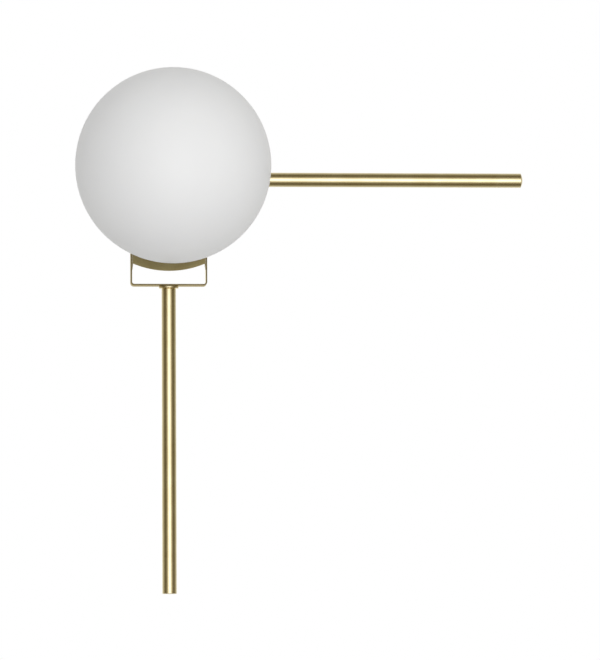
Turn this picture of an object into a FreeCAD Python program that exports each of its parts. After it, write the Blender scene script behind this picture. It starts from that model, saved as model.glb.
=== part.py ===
# Globe wall sconce: an opal glass globe on a tilting carrier, held in a thin strap yoke
# that carries one rod hanging down and one rod reaching sideways, all on a round wall canopy.
# Millimetres. X is to the viewer's right, Y runs into the wall, Z is up.
# The origin is the centre of the lamp's back, on the wall's surface, so the lamp lies at Y below 0.
import FreeCAD, Part
import math
import os

V = FreeCAD.Vector

# Driving dimensions of the parts on the wall
CANOPY_RADIUS = 55.0
CANOPY_DEPTH = 22.0
CANOPY_WALL = 1.2
CANOPY_EDGE_RADIUS = 4.0
CANOPY_WALL_GAP = 0.4
BRACKET_THICKNESS = 2.0
BRACKET_HEIGHT = 24.0
BRACKET_CANOPY_GAP = 0.6
BRACKET_EAR_DEPTH = 15.0
BRACKET_EAR_HEIGHT = 16.0
SLOT_SPACING = 64.0
SLOT_WIDTH = 5.5
SLOT_LENGTH = 12.0
CABLE_HOLE_RADIUS = 7.0
TONGUE_WIDTH = 34.0
TONGUE_LENGTH = 28.0
CANOPY_SCREW_RADIUS = 2.0
CANOPY_SCREW_SETBACK = 8.0
CANOPY_SCREW_HEAD_RADIUS = 3.6
CANOPY_SCREW_HEAD_HEIGHT = 2.4
CANOPY_SCREW_LENGTH = 6.0
EARTH_SCREW_X = -18.0
EARTH_SCREW_RADIUS = 2.0
EARTH_HEAD_RADIUS = 3.8
EARTH_HEAD_HEIGHT = 2.6
EARTH_TAG_RADIUS = 4.6
EARTH_TAG_THICKNESS = 0.8
EARTH_BARREL_WIDTH = 3.2
EARTH_BARREL_TOP = 10.0
EARTH_BARREL_OVERLAP = 0.5
SCREW_SLOT_WIDTH = 1.0
SCREW_SLOT_DEPTH = 1.0
SMALL_SLOT_WIDTH = 0.7
SMALL_SLOT_DEPTH = 0.8

# Driving dimensions of the mains connection
BLOCK_WIDTH = 29.0
BLOCK_HEIGHT = 17.0
BLOCK_DEPTH = 12.0
BLOCK_TOP_DROP = 19.0
BLOCK_PITCH = 9.0
BLOCK_BORE_RADIUS = 1.6
BLOCK_SCREW_RADIUS = 1.5
BLOCK_SCREW_SINK = 1.2
BLOCK_SCREW_LENGTH = 3.4
BLOCK_SCREW_DROP = 3.9
BLOCK_EDGE_RADIUS = 1.5
BLOCK_GROOVE_WIDTH = 1.2
BLOCK_GROOVE_DEPTH = 1.0
MAINS_BORE_DEPTH = 9.0
LAMP_BORE_DEPTH = 6.6
CORE_RADIUS = 1.2
CORE_SPREAD = 1.6
CORE_BOW = 1.5
CORE_DIP = 3.0
CORE_ENTRY = 4.0
CORE_LEAD = 1.5
FLEX_RADIUS = 3.0
FLEX_TAIL = 2.0

# Driving dimensions of the stem between canopy and yoke
NIPPLE_RADIUS = 5.0
NIPPLE_BORE_RADIUS = 3.3
NIPPLE_END = 1.0
THIN_NUT_FLATS = 14.0
THIN_NUT_HEIGHT = 3.5
THIN_NUT_BEVEL = 0.2
TOOTHED_WASHER_RADIUS = 8.0
TOOTHED_WASHER_HEIGHT = 0.9
TOOTHED_WASHER_TEETH = 12
TOOTHED_WASHER_NOTCH = 0.8
SLEEVE_RADIUS = 8.0
SLEEVE_LENGTH = 12.0

# Driving dimensions of the yoke and its rear bridge
STRAP_WIDTH = 16.0
STRAP_THICKNESS = 1.5
YOKE_WIDTH = 79.8
YOKE_DROP = 112.0
YOKE_BEND_RADIUS = 2.2
BRIDGE_THICKNESS = 2.5
BRIDGE_SETBACK = 12.0
BRIDGE_TAB_DROP = 21.0
RIVET_DROP = 15.0
RIVET_RADIUS = 2.0
RIVET_HEAD_RADIUS = 3.6
RIVET_HEAD_HEIGHT = 1.6
RIVET_SINK_WIDENING = 1.5

# Driving dimensions of the pivots
PIVOT_RADIUS = 2.5
PIVOT_HEAD_RADIUS = 6.0
PIVOT_HEAD_HEIGHT = 3.4
PIVOT_HEAD_EDGE = 0.8
PIVOT_SLOT_WIDTH = 1.2
PIVOT_SLOT_DEPTH = 1.4
FRICTION_WASHER_RADIUS = 6.8
FRICTION_WASHER_HEIGHT = 0.8
FLAT_WASHER_RADIUS = 4.6
FLAT_WASHER_HEIGHT = 1.0
PIVOT_NUT_FLATS = 8.0
PIVOT_NUT_HEIGHT = 4.0
PIVOT_THREAD_END = 1.0

# Driving dimensions of the two rods
ROD_RADIUS = 7.5
ROD_WALL = 1.5
COLLAR_RADIUS = 10.2
COLLAR_HEIGHT = 2.6
COLLAR_EDGE_RADIUS = 1.4
COLLAR_RIM_RADIUS = 0.3
JOINT_CHAMFER = 0.8
DROP_ROD_REACH = 433.0
SIDE_ARM_REACH = 372.5
ARM_CAP_LENGTH = 9.5
ARM_CAP_DOME = 2.1
ARM_CAP_EDGE = 0.4
DROP_CAP_LENGTH = 4.0
DROP_CAP_CHAMFER = 0.4
CAP_SPIGOT_LENGTH = 8.0
PLUG_LENGTH = 18.0
DROP_SCREW_RADIUS = 2.0
DROP_SCREW_LENGTH = 14.0
DROP_SCREW_END_ROOM = 1.0
DROP_SOCKET_FLATS = 2.5
DROP_SOCKET_DEPTH = 1.1

# Driving dimensions of the carrier plate and the gallery that grips the globe
CARRIER_RADIUS = 96.8
CARRIER_THICKNESS = 2.0
CARRIER_SIDE_GAP = 0.4
CARRIER_PIVOT_GAP = 5.2
EAR_RADIUS = 7.5
EAR_THICKNESS = 2.0
EAR_CLEARANCE = 4.0
GALLERY_WALL = 1.1
GALLERY_BASE = 1.5
GALLERY_RIM_GAP = 1.4
GALLERY_BEAD_RADIUS = 0.9
GALLERY_SCREW_RADIUS = 1.5
GALLERY_SCREW_CIRCLE = 25.5
GALLERY_SCREW_HEAD_RADIUS = 2.8
GALLERY_SCREW_HEAD_HEIGHT = 1.8
GALLERY_NUT_FLATS = 5.5
GALLERY_NUT_HEIGHT = 2.4
GALLERY_SCREW_END = 0.8
GALLERY_SCREW_ANGLES = (30.0, 150.0, 270.0)
LIP_SIDE_GAP = 0.5
SEAT_RING_HEIGHT = 1.5
SEAT_RING_WIDTH = 4.0
THUMB_ANGLES = {"top": 90.0, "lower_left": 235.0, "lower_right": 305.0}
THUMB_FORWARD = 7.0
THUMB_THREAD_RADIUS = 2.0
THUMB_TIP_GAP = 0.3
THUMB_BOSS_RADIUS = 4.0
THUMB_BOSS_HEIGHT = 3.0
THUMB_HEAD_RADIUS = 4.5
THUMB_HEAD_HEIGHT = 7.0
THUMB_HEAD_GAP = 1.6
THUMB_HEAD_CHAMFER = 0.5
THUMB_KNURLS = 18
THUMB_KNURL_DEPTH = 0.35

# Driving dimensions of the glass globe
GLOBE_RADIUS = 100.0
GLASS_WALL = 3.5
NECK_RADIUS = 31.2
NECK_WALL = 2.4
LIP_RADIUS = 33.2
LIP_HEIGHT = 3.0
NECK_LENGTH = 12.4
NECK_FILLET = 2.0

# Driving dimensions of the lampholder and the bulb
HOLDER_BASE_RADIUS = 16.5
HOLDER_SKIRT_START = 12.0
HOLDER_RADIUS = 19.5
HOLDER_LENGTH = 46.0
HOLDER_WALL = 3.0
HOLDER_FLOOR = 13.0
HOLDER_EDGE_RADIUS = 1.5
HOLDER_NIPPLE_REACH = 8.0
HOLDER_WIRE_BAY = 3.0
HOLDER_RIBS = 24
HOLDER_RIB_RADIUS = 0.7
HOLDER_RIB_INSET = 0.3
HOLDER_RIB_START = 4.0
HOLDER_RIB_LENGTH = 18.0
SCREW_SHELL_RADIUS = 14.6
SCREW_SHELL_WALL = 0.6
SCREW_SHELL_LENGTH = 22.0
SCREW_SHELL_RISE = 4.0
SCREW_SHELL_FLANGE = 1.0
CONTACT_RADIUS = 4.0
CONTACT_HEIGHT = 1.2
BULB_CAP_RADIUS = 13.1
BULB_CAP_LENGTH = 22.0
BULB_CAP_CHAMFER = 3.0
BULB_CONTACT_RADIUS = 5.5
BULB_CONTACT_HEIGHT = 2.4
BULB_CONTACT_GAP = 0.3
BULB_BODY_THROAT = 13.6
BULB_BODY_SHANK = 11.0
BULB_BODY_LENGTH = 38.0
BULB_RADIUS = 27.5
BULB_DOME_WALL = 1.2

# Clearances
FIT_GAP = 0.05
SCREW_HOLE_GAP = 0.3
FACE_GAP = 0.05

# How far a cutting shape runs past the face that it cuts, and how near two places count as one
PAST = 1.0
NEAR = 0.01

# Places that follow from the sizes above, all measured from the wall
BRIDGE_BACK_Y = -(CANOPY_DEPTH + SLEEVE_LENGTH)
BRIDGE_FRONT_Y = BRIDGE_BACK_Y - BRIDGE_THICKNESS
PIVOT_Y = BRIDGE_FRONT_Y - BRIDGE_SETBACK
CARRIER_BACK_Y = PIVOT_Y - CARRIER_PIVOT_GAP
CARRIER_FRONT_Y = CARRIER_BACK_Y - CARRIER_THICKNESS
GALLERY_FLOOR_Y = CARRIER_FRONT_Y - GALLERY_BASE
LIP_BACK_Y = GALLERY_FLOOR_Y - SEAT_RING_HEIGHT
LIP_FRONT_Y = LIP_BACK_Y - LIP_HEIGHT
NECK_FRONT_Y = LIP_BACK_Y - NECK_LENGTH
GLOBE_Y = NECK_FRONT_Y - math.sqrt(GLOBE_RADIUS**2 - NECK_RADIUS**2)
THUMB_Y = LIP_BACK_Y - THUMB_FORWARD
GALLERY_INNER_RADIUS = LIP_RADIUS + LIP_SIDE_GAP
GALLERY_RADIUS = GALLERY_INNER_RADIUS + GALLERY_WALL
GALLERY_RIM_Y = GLOBE_Y + math.sqrt(GLOBE_RADIUS**2 - GALLERY_RADIUS**2) + GALLERY_RIM_GAP
STRAP_HALF = STRAP_WIDTH / 2
ARM_OUTER_X = YOKE_WIDTH / 2
ARM_INNER_X = ARM_OUTER_X - STRAP_THICKNESS
TAB_INNER_X = ARM_INNER_X - BRIDGE_THICKNESS
EAR_OUTER_X = TAB_INNER_X - FRICTION_WASHER_HEIGHT - 2 * FACE_GAP
EAR_INNER_X = EAR_OUTER_X - EAR_THICKNESS
YOKE_FLOOR_Z = -(YOKE_DROP - STRAP_THICKNESS)
COLLAR_FOOT_Z = -YOKE_DROP - COLLAR_HEIGHT
COLLAR_END_X = ARM_OUTER_X + COLLAR_HEIGHT
TUBE_BORE = ROD_RADIUS - ROD_WALL
PLUG_RADIUS = TUBE_BORE - FIT_GAP
CANOPY_INNER_RADIUS = CANOPY_RADIUS - CANOPY_WALL
CANOPY_FLOOR_Y = -CANOPY_DEPTH + CANOPY_WALL
BRACKET_HALF = CANOPY_INNER_RADIUS - BRACKET_CANOPY_GAP
BLOCK_FRONT_Y = -BRACKET_THICKNESS - BLOCK_DEPTH
BLOCK_AXIS_Y = -BRACKET_THICKNESS - BLOCK_DEPTH / 2
BLOCK_FOOT_Z = -BLOCK_TOP_DROP - BLOCK_HEIGHT
STEM_NUT_REAR_Y = CANOPY_FLOOR_Y + TOOTHED_WASHER_HEIGHT
STEM_NUT_FRONT_Y = BRIDGE_FRONT_Y - TOOTHED_WASHER_HEIGHT
STEM_REAR_Y = STEM_NUT_REAR_Y + THIN_NUT_HEIGHT + NIPPLE_END
STEM_FRONT_Y = STEM_NUT_FRONT_Y - THIN_NUT_HEIGHT - NIPPLE_END
HOLDER_NUT_Y = CARRIER_BACK_Y + TOOTHED_WASHER_HEIGHT
HOLDER_NIPPLE_REAR_Y = HOLDER_NUT_Y + THIN_NUT_HEIGHT + NIPPLE_END
HOLDER_NIPPLE_FRONT_Y = GALLERY_FLOOR_Y - HOLDER_NIPPLE_REACH
HOLDER_FRONT_Y = GALLERY_FLOOR_Y - HOLDER_LENGTH
CAVITY_FLOOR_Y = GALLERY_FLOOR_Y - HOLDER_FLOOR
BULB_CONTACT_Y = CAVITY_FLOOR_Y - CONTACT_HEIGHT - BULB_CONTACT_GAP
BULB_CAP_Y = BULB_CONTACT_Y - BULB_CONTACT_HEIGHT
BULB_BODY_Y = BULB_CAP_Y - BULB_CAP_LENGTH
BULB_DOME_Y = BULB_BODY_Y - BULB_BODY_LENGTH


def cylinder_y(radius, y_back, y_front, x=0.0, z=0.0):
    """A round bar along Y, from its end nearer the wall to its end nearer the viewer."""
    return Part.makeCylinder(radius, y_back - y_front, V(x, y_back, z), V(0, -1, 0))


def cylinder_x(radius, x_start, x_end, y=0.0, z=0.0):
    """A round bar along X."""
    low, high = sorted((x_start, x_end))
    return Part.makeCylinder(radius, high - low, V(low, y, z), V(1, 0, 0))


def cylinder_z(radius, z_start, z_end, x=0.0, y=0.0):
    """A round bar along Z."""
    low, high = sorted((z_start, z_end))
    return Part.makeCylinder(radius, high - low, V(x, y, low), V(0, 0, 1))


def block(x_range, y_range, z_range):
    """A rectangular block between two corners."""
    (x0, x1), (y0, y1), (z0, z1) = sorted(x_range), sorted(y_range), sorted(z_range)
    return Part.makeBox(x1 - x0, y1 - y0, z1 - z0, V(x0, y0, z0))


def tube_y(outer, inner, y_back, y_front):
    """A tube along Y on the lamp's axis."""
    return cylinder_y(outer, y_back, y_front).cut(cylinder_y(inner, y_back + PAST, y_front - PAST))


def hexagon(across_flats, height, start, direction, turn=0.0):
    """A hexagonal bar that starts at a point and runs along a direction."""
    corner = across_flats / math.sqrt(3)
    points = []
    for i in range(7):
        angle = math.radians(60 * i + turn)
        points.append(V(corner * math.cos(angle), corner * math.sin(angle), 0))
    bar = Part.Face(Part.makePolygon(points)).extrude(V(0, 0, height))
    bar.Placement = FreeCAD.Placement(start, FreeCAD.Rotation(V(0, 0, 1), direction))
    return bar


def edges_where(shape, test):
    """The edges of a shape whose centre of mass passes a test."""
    return [edge for edge in shape.Edges if test(edge.CenterOfMass, edge)]


def is_circle(edge, radius):
    """Whether an edge is a circle of a radius; a sphere's pole is an edge with no curve."""
    if edge.Degenerated:
        return False
    return isinstance(edge.Curve, Part.Circle) and abs(edge.Curve.Radius - radius) < 1e-4


def wall_bracket():
    """The pressed steel strip that is screwed to the wall, with an ear at each end and a tongue below."""
    half = BRACKET_HEIGHT / 2
    ear_half = BRACKET_EAR_HEIGHT / 2
    strip = block((-BRACKET_HALF, BRACKET_HALF), (-BRACKET_THICKNESS, 0), (-half, half))
    round_ends = cylinder_y(BRACKET_HALF, 0, -BRACKET_THICKNESS)
    strip = strip.common(round_ends)
    reach = math.sqrt(BRACKET_HALF**2 - ear_half**2)
    for side in (-1, 1):
        x_out, x_in = side * reach, side * (reach - BRACKET_THICKNESS)
        ear = block((x_in, x_out), (-BRACKET_EAR_DEPTH, 0), (-ear_half, ear_half))
        strip = strip.fuse(ear)
    tongue_half = TONGUE_WIDTH / 2
    tongue = block(
        (-tongue_half, tongue_half), (-BRACKET_THICKNESS, 0), (-half - TONGUE_LENGTH, -half)
    )
    strip = strip.fuse(tongue).removeSplitter()
    strip = strip.cut(cylinder_y(CABLE_HOLE_RADIUS, PAST, -BRACKET_THICKNESS - PAST))
    straight = (SLOT_LENGTH - SLOT_WIDTH) / 2
    slot_half = SLOT_WIDTH / 2
    for side in (-1, 1):
        middle = side * SLOT_SPACING / 2
        depth = (PAST, -BRACKET_THICKNESS - PAST)
        slot = block((middle - straight, middle + straight), depth, (-slot_half, slot_half))
        for end in (-straight, straight):
            slot = slot.fuse(cylinder_y(slot_half, depth[0], depth[1], middle + end))
        strip = strip.cut(slot)
        thread = cylinder_x(
            CANOPY_SCREW_RADIUS + FIT_GAP,
            side * (reach - BRACKET_THICKNESS - PAST),
            side * (reach + PAST),
            -CANOPY_SCREW_SETBACK,
        )
        strip = strip.cut(thread)
    hole = cylinder_y(EARTH_SCREW_RADIUS + FIT_GAP, PAST, -BRACKET_THICKNESS - PAST, EARTH_SCREW_X)
    return strip.cut(hole)


def canopy():
    """The drawn brass cup that covers the bracket, with a hole for the stem and one for each side screw."""
    cup = cylinder_y(CANOPY_RADIUS, -CANOPY_WALL_GAP, -CANOPY_DEPTH)
    rim = edges_where(cup, lambda c, e: is_circle(e, CANOPY_RADIUS) and c.y < -CANOPY_DEPTH / 2)
    cup = cup.makeFillet(CANOPY_EDGE_RADIUS, rim)
    hollow = cylinder_y(CANOPY_INNER_RADIUS, PAST, CANOPY_FLOOR_Y)
    rim = edges_where(hollow, lambda c, e: is_circle(e, CANOPY_INNER_RADIUS) and c.y < 0)
    hollow = hollow.makeFillet(CANOPY_EDGE_RADIUS - CANOPY_WALL, rim)
    cup = cup.cut(hollow)
    cup = cup.cut(cylinder_y(NIPPLE_RADIUS + SCREW_HOLE_GAP, 0, -CANOPY_DEPTH - PAST))
    for side in (-1, 1):
        hole = cylinder_x(
            CANOPY_SCREW_RADIUS + SCREW_HOLE_GAP,
            side * (CANOPY_INNER_RADIUS - PAST),
            side * (CANOPY_RADIUS + PAST),
            -CANOPY_SCREW_SETBACK,
        )
        cup = cup.cut(hole)
    return cup


def dome_head(radius, height):
    """A low domed head that stands on the XY plane, with its flat side down."""
    ball = (radius**2 + height**2) / (2 * height)
    cap = Part.makeSphere(ball, V(0, 0, height - ball))
    return cap.common(Part.makeCylinder(radius, height + PAST))


def screw_slot(head_radius, head_height, width, depth):
    """The block that cuts a driver's slot across the top of a head that stands on the XY plane."""
    half = head_radius + PAST
    return Part.makeBox(2 * half, width, depth + PAST, V(-half, -width / 2, head_height - depth))


def place(shape, start, direction):
    """Moves a shape from the origin to a point, with its Z axis turned to a direction."""
    moved = shape.copy()
    moved.Placement = FreeCAD.Placement(start, FreeCAD.Rotation(V(0, 0, 1), direction))
    return moved


def canopy_screws():
    """The two dome-headed screws that hold the canopy on the bracket's ears."""
    screws = []
    for side in (-1, 1):
        start = V(side * CANOPY_RADIUS, -CANOPY_SCREW_SETBACK, 0)
        head = dome_head(CANOPY_SCREW_HEAD_RADIUS, CANOPY_SCREW_HEAD_HEIGHT)
        slot = screw_slot(
            CANOPY_SCREW_HEAD_RADIUS, CANOPY_SCREW_HEAD_HEIGHT, SCREW_SLOT_WIDTH, SCREW_SLOT_DEPTH
        )
        shank = Part.makeCylinder(CANOPY_SCREW_RADIUS, CANOPY_SCREW_LENGTH, V(0, 0, -CANOPY_SCREW_LENGTH))
        screws.append(place(head.cut(slot).fuse(shank), start, V(side, 0, 0)))
    return Part.makeCompound(screws)


def earth_tag():
    """The ring tag that the earth core is crimped to."""
    back = -BRACKET_THICKNESS
    front = back - EARTH_TAG_THICKNESS
    ring = cylinder_y(EARTH_TAG_RADIUS, back, front, EARTH_SCREW_X)
    half = EARTH_BARREL_WIDTH / 2
    barrel = block(
        (EARTH_SCREW_X - half, EARTH_SCREW_X + half),
        (back, front - half),
        (EARTH_TAG_RADIUS - EARTH_BARREL_OVERLAP, EARTH_BARREL_TOP),
    )
    tag = ring.fuse(barrel)
    return tag.cut(cylinder_y(EARTH_SCREW_RADIUS + FIT_GAP, PAST, front - PAST, EARTH_SCREW_X))


def earth_screw():
    """The earth screw, through the ring tag into the bracket."""
    seat = -BRACKET_THICKNESS - EARTH_TAG_THICKNESS
    head = Part.makeCylinder(EARTH_HEAD_RADIUS, EARTH_HEAD_HEIGHT)
    head = head.cut(screw_slot(EARTH_HEAD_RADIUS, EARTH_HEAD_HEIGHT, SCREW_SLOT_WIDTH, SCREW_SLOT_DEPTH))
    length = BRACKET_THICKNESS + EARTH_TAG_THICKNESS - CANOPY_WALL_GAP
    shank = Part.makeCylinder(EARTH_SCREW_RADIUS, length, V(0, 0, -length))
    return place(head.fuse(shank), V(EARTH_SCREW_X, seat, 0), V(0, -1, 0))


def block_places():
    """The X of each of the terminal block's poles."""
    return [(i - 1) * BLOCK_PITCH for i in range(3)]


def terminal_block():
    """The three-pole terminal block on the bracket's tongue: push-in below for the mains, screws above."""
    half = BLOCK_WIDTH / 2
    middle = BLOCK_FOOT_Z + BLOCK_HEIGHT / 2
    body = block((-half, half), (BLOCK_FRONT_Y, -BRACKET_THICKNESS), (BLOCK_FOOT_Z, -BLOCK_TOP_DROP))
    front_edges = edges_where(body, lambda c, e: abs(c.z - middle) < NEAR and abs(c.y - BLOCK_FRONT_Y) < NEAR)
    body = body.makeFillet(BLOCK_EDGE_RADIUS, front_edges)
    for x in block_places()[:-1]:
        groove = x + BLOCK_PITCH / 2
        span = (groove - BLOCK_GROOVE_WIDTH / 2, groove + BLOCK_GROOVE_WIDTH / 2)
        depth = (BLOCK_FRONT_Y - PAST, BLOCK_FRONT_Y + BLOCK_GROOVE_DEPTH)
        body = body.cut(block(span, depth, (BLOCK_FOOT_Z - PAST, -BLOCK_TOP_DROP + PAST)))
    for x in block_places():
        mains_bore = cylinder_z(
            BLOCK_BORE_RADIUS, BLOCK_FOOT_Z - PAST, BLOCK_FOOT_Z + MAINS_BORE_DEPTH, x, BLOCK_AXIS_Y
        )
        lamp_bore = cylinder_z(
            BLOCK_BORE_RADIUS, -BLOCK_TOP_DROP + PAST, -BLOCK_TOP_DROP - LAMP_BORE_DEPTH, x, BLOCK_AXIS_Y
        )
        body = body.cut(mains_bore).cut(lamp_bore)
        z = -BLOCK_TOP_DROP - BLOCK_SCREW_DROP
        body = body.cut(cylinder_y(BLOCK_SCREW_RADIUS + FIT_GAP, BLOCK_AXIS_Y, BLOCK_FRONT_Y - PAST, x, z))
    return body


def terminal_screws():
    """The three clamping screws over the lamp's cores."""
    seat = BLOCK_FRONT_Y + BLOCK_SCREW_SINK
    screws = []
    for x in block_places():
        screw = Part.makeCylinder(BLOCK_SCREW_RADIUS, BLOCK_SCREW_LENGTH)
        slot = screw_slot(BLOCK_SCREW_RADIUS, BLOCK_SCREW_LENGTH, SMALL_SLOT_WIDTH, SMALL_SLOT_DEPTH)
        start = V(x, seat + BLOCK_SCREW_LENGTH, -BLOCK_TOP_DROP - BLOCK_SCREW_DROP)
        screws.append(place(screw.cut(slot), start, V(0, -1, 0)))
    return Part.makeCompound(screws)


def rounded_path(points, share=0.45):
    """A wire of straight runs joined by tangent arcs, each as large as its two runs allow."""
    edges = []
    start = points[0]
    for before, corner, after in zip(points, points[1:], points[2:]):
        back, ahead = before - corner, after - corner
        shorter = min(back.Length, ahead.Length)
        back.normalize()
        ahead.normalize()
        reach = share * shorter
        first, last = corner + back * reach, corner + ahead * reach
        half_turn = (math.pi - back.getAngle(ahead)) / 2
        radius = reach / math.tan(half_turn)
        inward = back + ahead
        inward.normalize()
        centre = corner + inward * (radius / math.cos(half_turn))
        edges.append(Part.makeLine(start, first))
        edges.append(Part.Arc(first, centre - inward * radius, last).toShape())
        start = last
    edges.append(Part.makeLine(start, points[-1]))
    return Part.Wire(edges)


def core(points):
    """One insulated core along its points."""
    path = rounded_path(points)
    start = path.Edges[0].Vertexes[0].Point
    heading = points[1] - points[0]
    section = Part.Wire(Part.makeCircle(CORE_RADIUS, start, heading))
    return path.makePipeShell([section], True, False)


def core_route(pole, angle_deg):
    """The route of one core, out of the flexible cord's end, round and down into its pole."""
    angle = math.radians(angle_deg)
    x0, z0 = CORE_SPREAD * math.cos(angle), CORE_SPREAD * math.sin(angle)
    y_end = STEM_REAR_Y + FLEX_TAIL
    return [
        V(x0, y_end, z0),
        V(x0, BLOCK_AXIS_Y, z0),
        V(pole, BLOCK_AXIS_Y + CORE_BOW, (z0 - BLOCK_TOP_DROP) / 2 - CORE_DIP),
        V(pole, BLOCK_AXIS_Y, -BLOCK_TOP_DROP + CORE_LEAD),
        V(pole, BLOCK_AXIS_Y, -BLOCK_TOP_DROP - CORE_ENTRY),
    ]


def live_core():
    """The live core, from the cord's end to its pole."""
    return core(core_route(block_places()[0], 150))


def neutral_core():
    """The neutral core, from the cord's end to its pole."""
    return core(core_route(block_places()[2], 30))


def earth_core():
    """The earth core, from the cord's end to the middle pole."""
    return core(core_route(block_places()[1], 270))


def stem_nipple():
    """The hollow threaded nipple that clamps canopy, sleeve and rear bridge together."""
    return tube_y(NIPPLE_RADIUS, NIPPLE_BORE_RADIUS, STEM_REAR_Y, STEM_FRONT_Y)


def thin_nut(y_back):
    """A thin hexagonal nut on the lamp's axis."""
    nut = hexagon(THIN_NUT_FLATS, THIN_NUT_HEIGHT, V(0, y_back, 0), V(0, -1, 0), 30)
    bevel = Part.makeCone(
        THIN_NUT_FLATS / 2 + THIN_NUT_HEIGHT, THIN_NUT_FLATS / 2 - THIN_NUT_BEVEL,
        THIN_NUT_HEIGHT + THIN_NUT_BEVEL, V(0, y_back, 0), V(0, -1, 0),
    )
    nut = nut.common(bevel)
    return nut.cut(cylinder_y(NIPPLE_RADIUS + FIT_GAP, y_back + PAST, y_back - THIN_NUT_HEIGHT - PAST))


def toothed_washer(y_back):
    """A toothed lock washer on the lamp's axis."""
    ring = tube_y(TOOTHED_WASHER_RADIUS, NIPPLE_RADIUS + FIT_GAP, y_back, y_back - TOOTHED_WASHER_HEIGHT)
    for i in range(TOOTHED_WASHER_TEETH):
        angle = 2 * math.pi * i / TOOTHED_WASHER_TEETH
        notch = cylinder_y(
            TOOTHED_WASHER_NOTCH, y_back + PAST, y_back - TOOTHED_WASHER_HEIGHT - PAST,
            TOOTHED_WASHER_RADIUS * math.cos(angle), TOOTHED_WASHER_RADIUS * math.sin(angle),
        )
        ring = ring.cut(notch)
    return ring


def stem_sleeve():
    """The brass spacer between canopy and rear bridge."""
    sleeve = cylinder_y(SLEEVE_RADIUS, -CANOPY_DEPTH, BRIDGE_BACK_Y)
    return sleeve.cut(cylinder_y(NIPPLE_RADIUS + SCREW_HOLE_GAP, 0, BRIDGE_BACK_Y - PAST))


def arm_outline(x, thickness, y_front, y_back, z_foot):
    """A flat strip in a plane across X, with a half-round top about the pivot."""
    half = (y_back - y_front) / 2
    middle = (y_back + y_front) / 2
    strip = block((x, x + thickness), (y_front, y_back), (z_foot, 0))
    return strip.fuse(cylinder_x(half, x, x + thickness, middle))


def lower_corners(shape, x, z):
    """The two edges along Y at the lower corners of a block."""
    return edges_where(shape, lambda c, e: abs(abs(c.x) - x) < NEAR and abs(c.z - z) < NEAR)


def yoke():
    """The thin strap bent to a U, with the carrier between its arms and the drop rod under its floor."""
    front, back = PIVOT_Y - STRAP_HALF, PIVOT_Y + STRAP_HALF
    inner, outer = ARM_INNER_X, ARM_OUTER_X
    bend_in, bend_out = YOKE_BEND_RADIUS, YOKE_BEND_RADIUS + STRAP_THICKNESS
    bend_x, bend_z = inner - bend_in, YOKE_FLOOR_Z + bend_in
    outline = block((-outer, outer), (front, back), (-YOKE_DROP, 0))
    outline = outline.makeFillet(bend_out, lower_corners(outline, outer, -YOKE_DROP))
    hollow = block((-inner, inner), (front - PAST, back + PAST), (YOKE_FLOOR_Z, PAST))
    hollow = hollow.makeFillet(bend_in, lower_corners(hollow, inner, YOKE_FLOOR_Z))
    strap = outline.cut(hollow)
    for x in (-outer, inner):
        strap = strap.fuse(arm_outline(x, STRAP_THICKNESS, front, back, bend_z))
    strap = strap.removeSplitter()
    for side in (-1, 1):
        span = (side * (inner - PAST), side * (outer + PAST))
        strap = strap.cut(cylinder_x(PIVOT_RADIUS + FIT_GAP, span[0], span[1], PIVOT_Y))
        strap = strap.cut(cylinder_x(RIVET_RADIUS + FIT_GAP, span[0], span[1], PIVOT_Y, -RIVET_DROP))
    sink = Part.makeCone(
        DROP_SCREW_RADIUS + FIT_GAP, DROP_SCREW_RADIUS + FIT_GAP + STRAP_THICKNESS,
        STRAP_THICKNESS, V(0, PIVOT_Y, -YOKE_DROP), V(0, 0, 1),
    )
    return strap.cut(sink)


def rear_bridge():
    """The stiff strip behind the carrier that ties both arms to the stem, with a tab against each arm."""
    back = BRIDGE_BACK_Y
    front = PIVOT_Y - STRAP_HALF
    bridge = block((-ARM_INNER_X, ARM_INNER_X), (BRIDGE_FRONT_Y, back), (-STRAP_HALF, STRAP_HALF))
    for x in (-ARM_INNER_X, TAB_INNER_X):
        lobe = arm_outline(x, BRIDGE_THICKNESS, front, PIVOT_Y + STRAP_HALF, -BRIDGE_TAB_DROP)
        web = block((x, x + BRIDGE_THICKNESS), (PIVOT_Y, back), (-STRAP_HALF, STRAP_HALF))
        bridge = bridge.fuse(lobe).fuse(web)
    bridge = bridge.removeSplitter()
    bend = edges_where(
        bridge,
        lambda c, e: abs(c.y - back) < NEAR and abs(abs(c.x) - ARM_INNER_X) < NEAR and e.Length > 1,
    )
    bridge = bridge.makeFillet(BRIDGE_THICKNESS * 0.9, bend)
    bridge = bridge.cut(cylinder_y(NIPPLE_RADIUS + FIT_GAP, back + PAST, BRIDGE_FRONT_Y - PAST))
    for side in (-1, 1):
        span = (side * (TAB_INNER_X - PAST), side * (ARM_INNER_X + PAST))
        bridge = bridge.cut(cylinder_x(PIVOT_RADIUS + FIT_GAP, span[0], span[1], PIVOT_Y))
        sink = Part.makeCone(
            RIVET_RADIUS + FIT_GAP + RIVET_SINK_WIDENING, RIVET_RADIUS + FIT_GAP, BRIDGE_THICKNESS,
            V(side * TAB_INNER_X, PIVOT_Y, -RIVET_DROP), V(side, 0, 0),
        )
        bridge = bridge.cut(sink)
    return bridge


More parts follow.
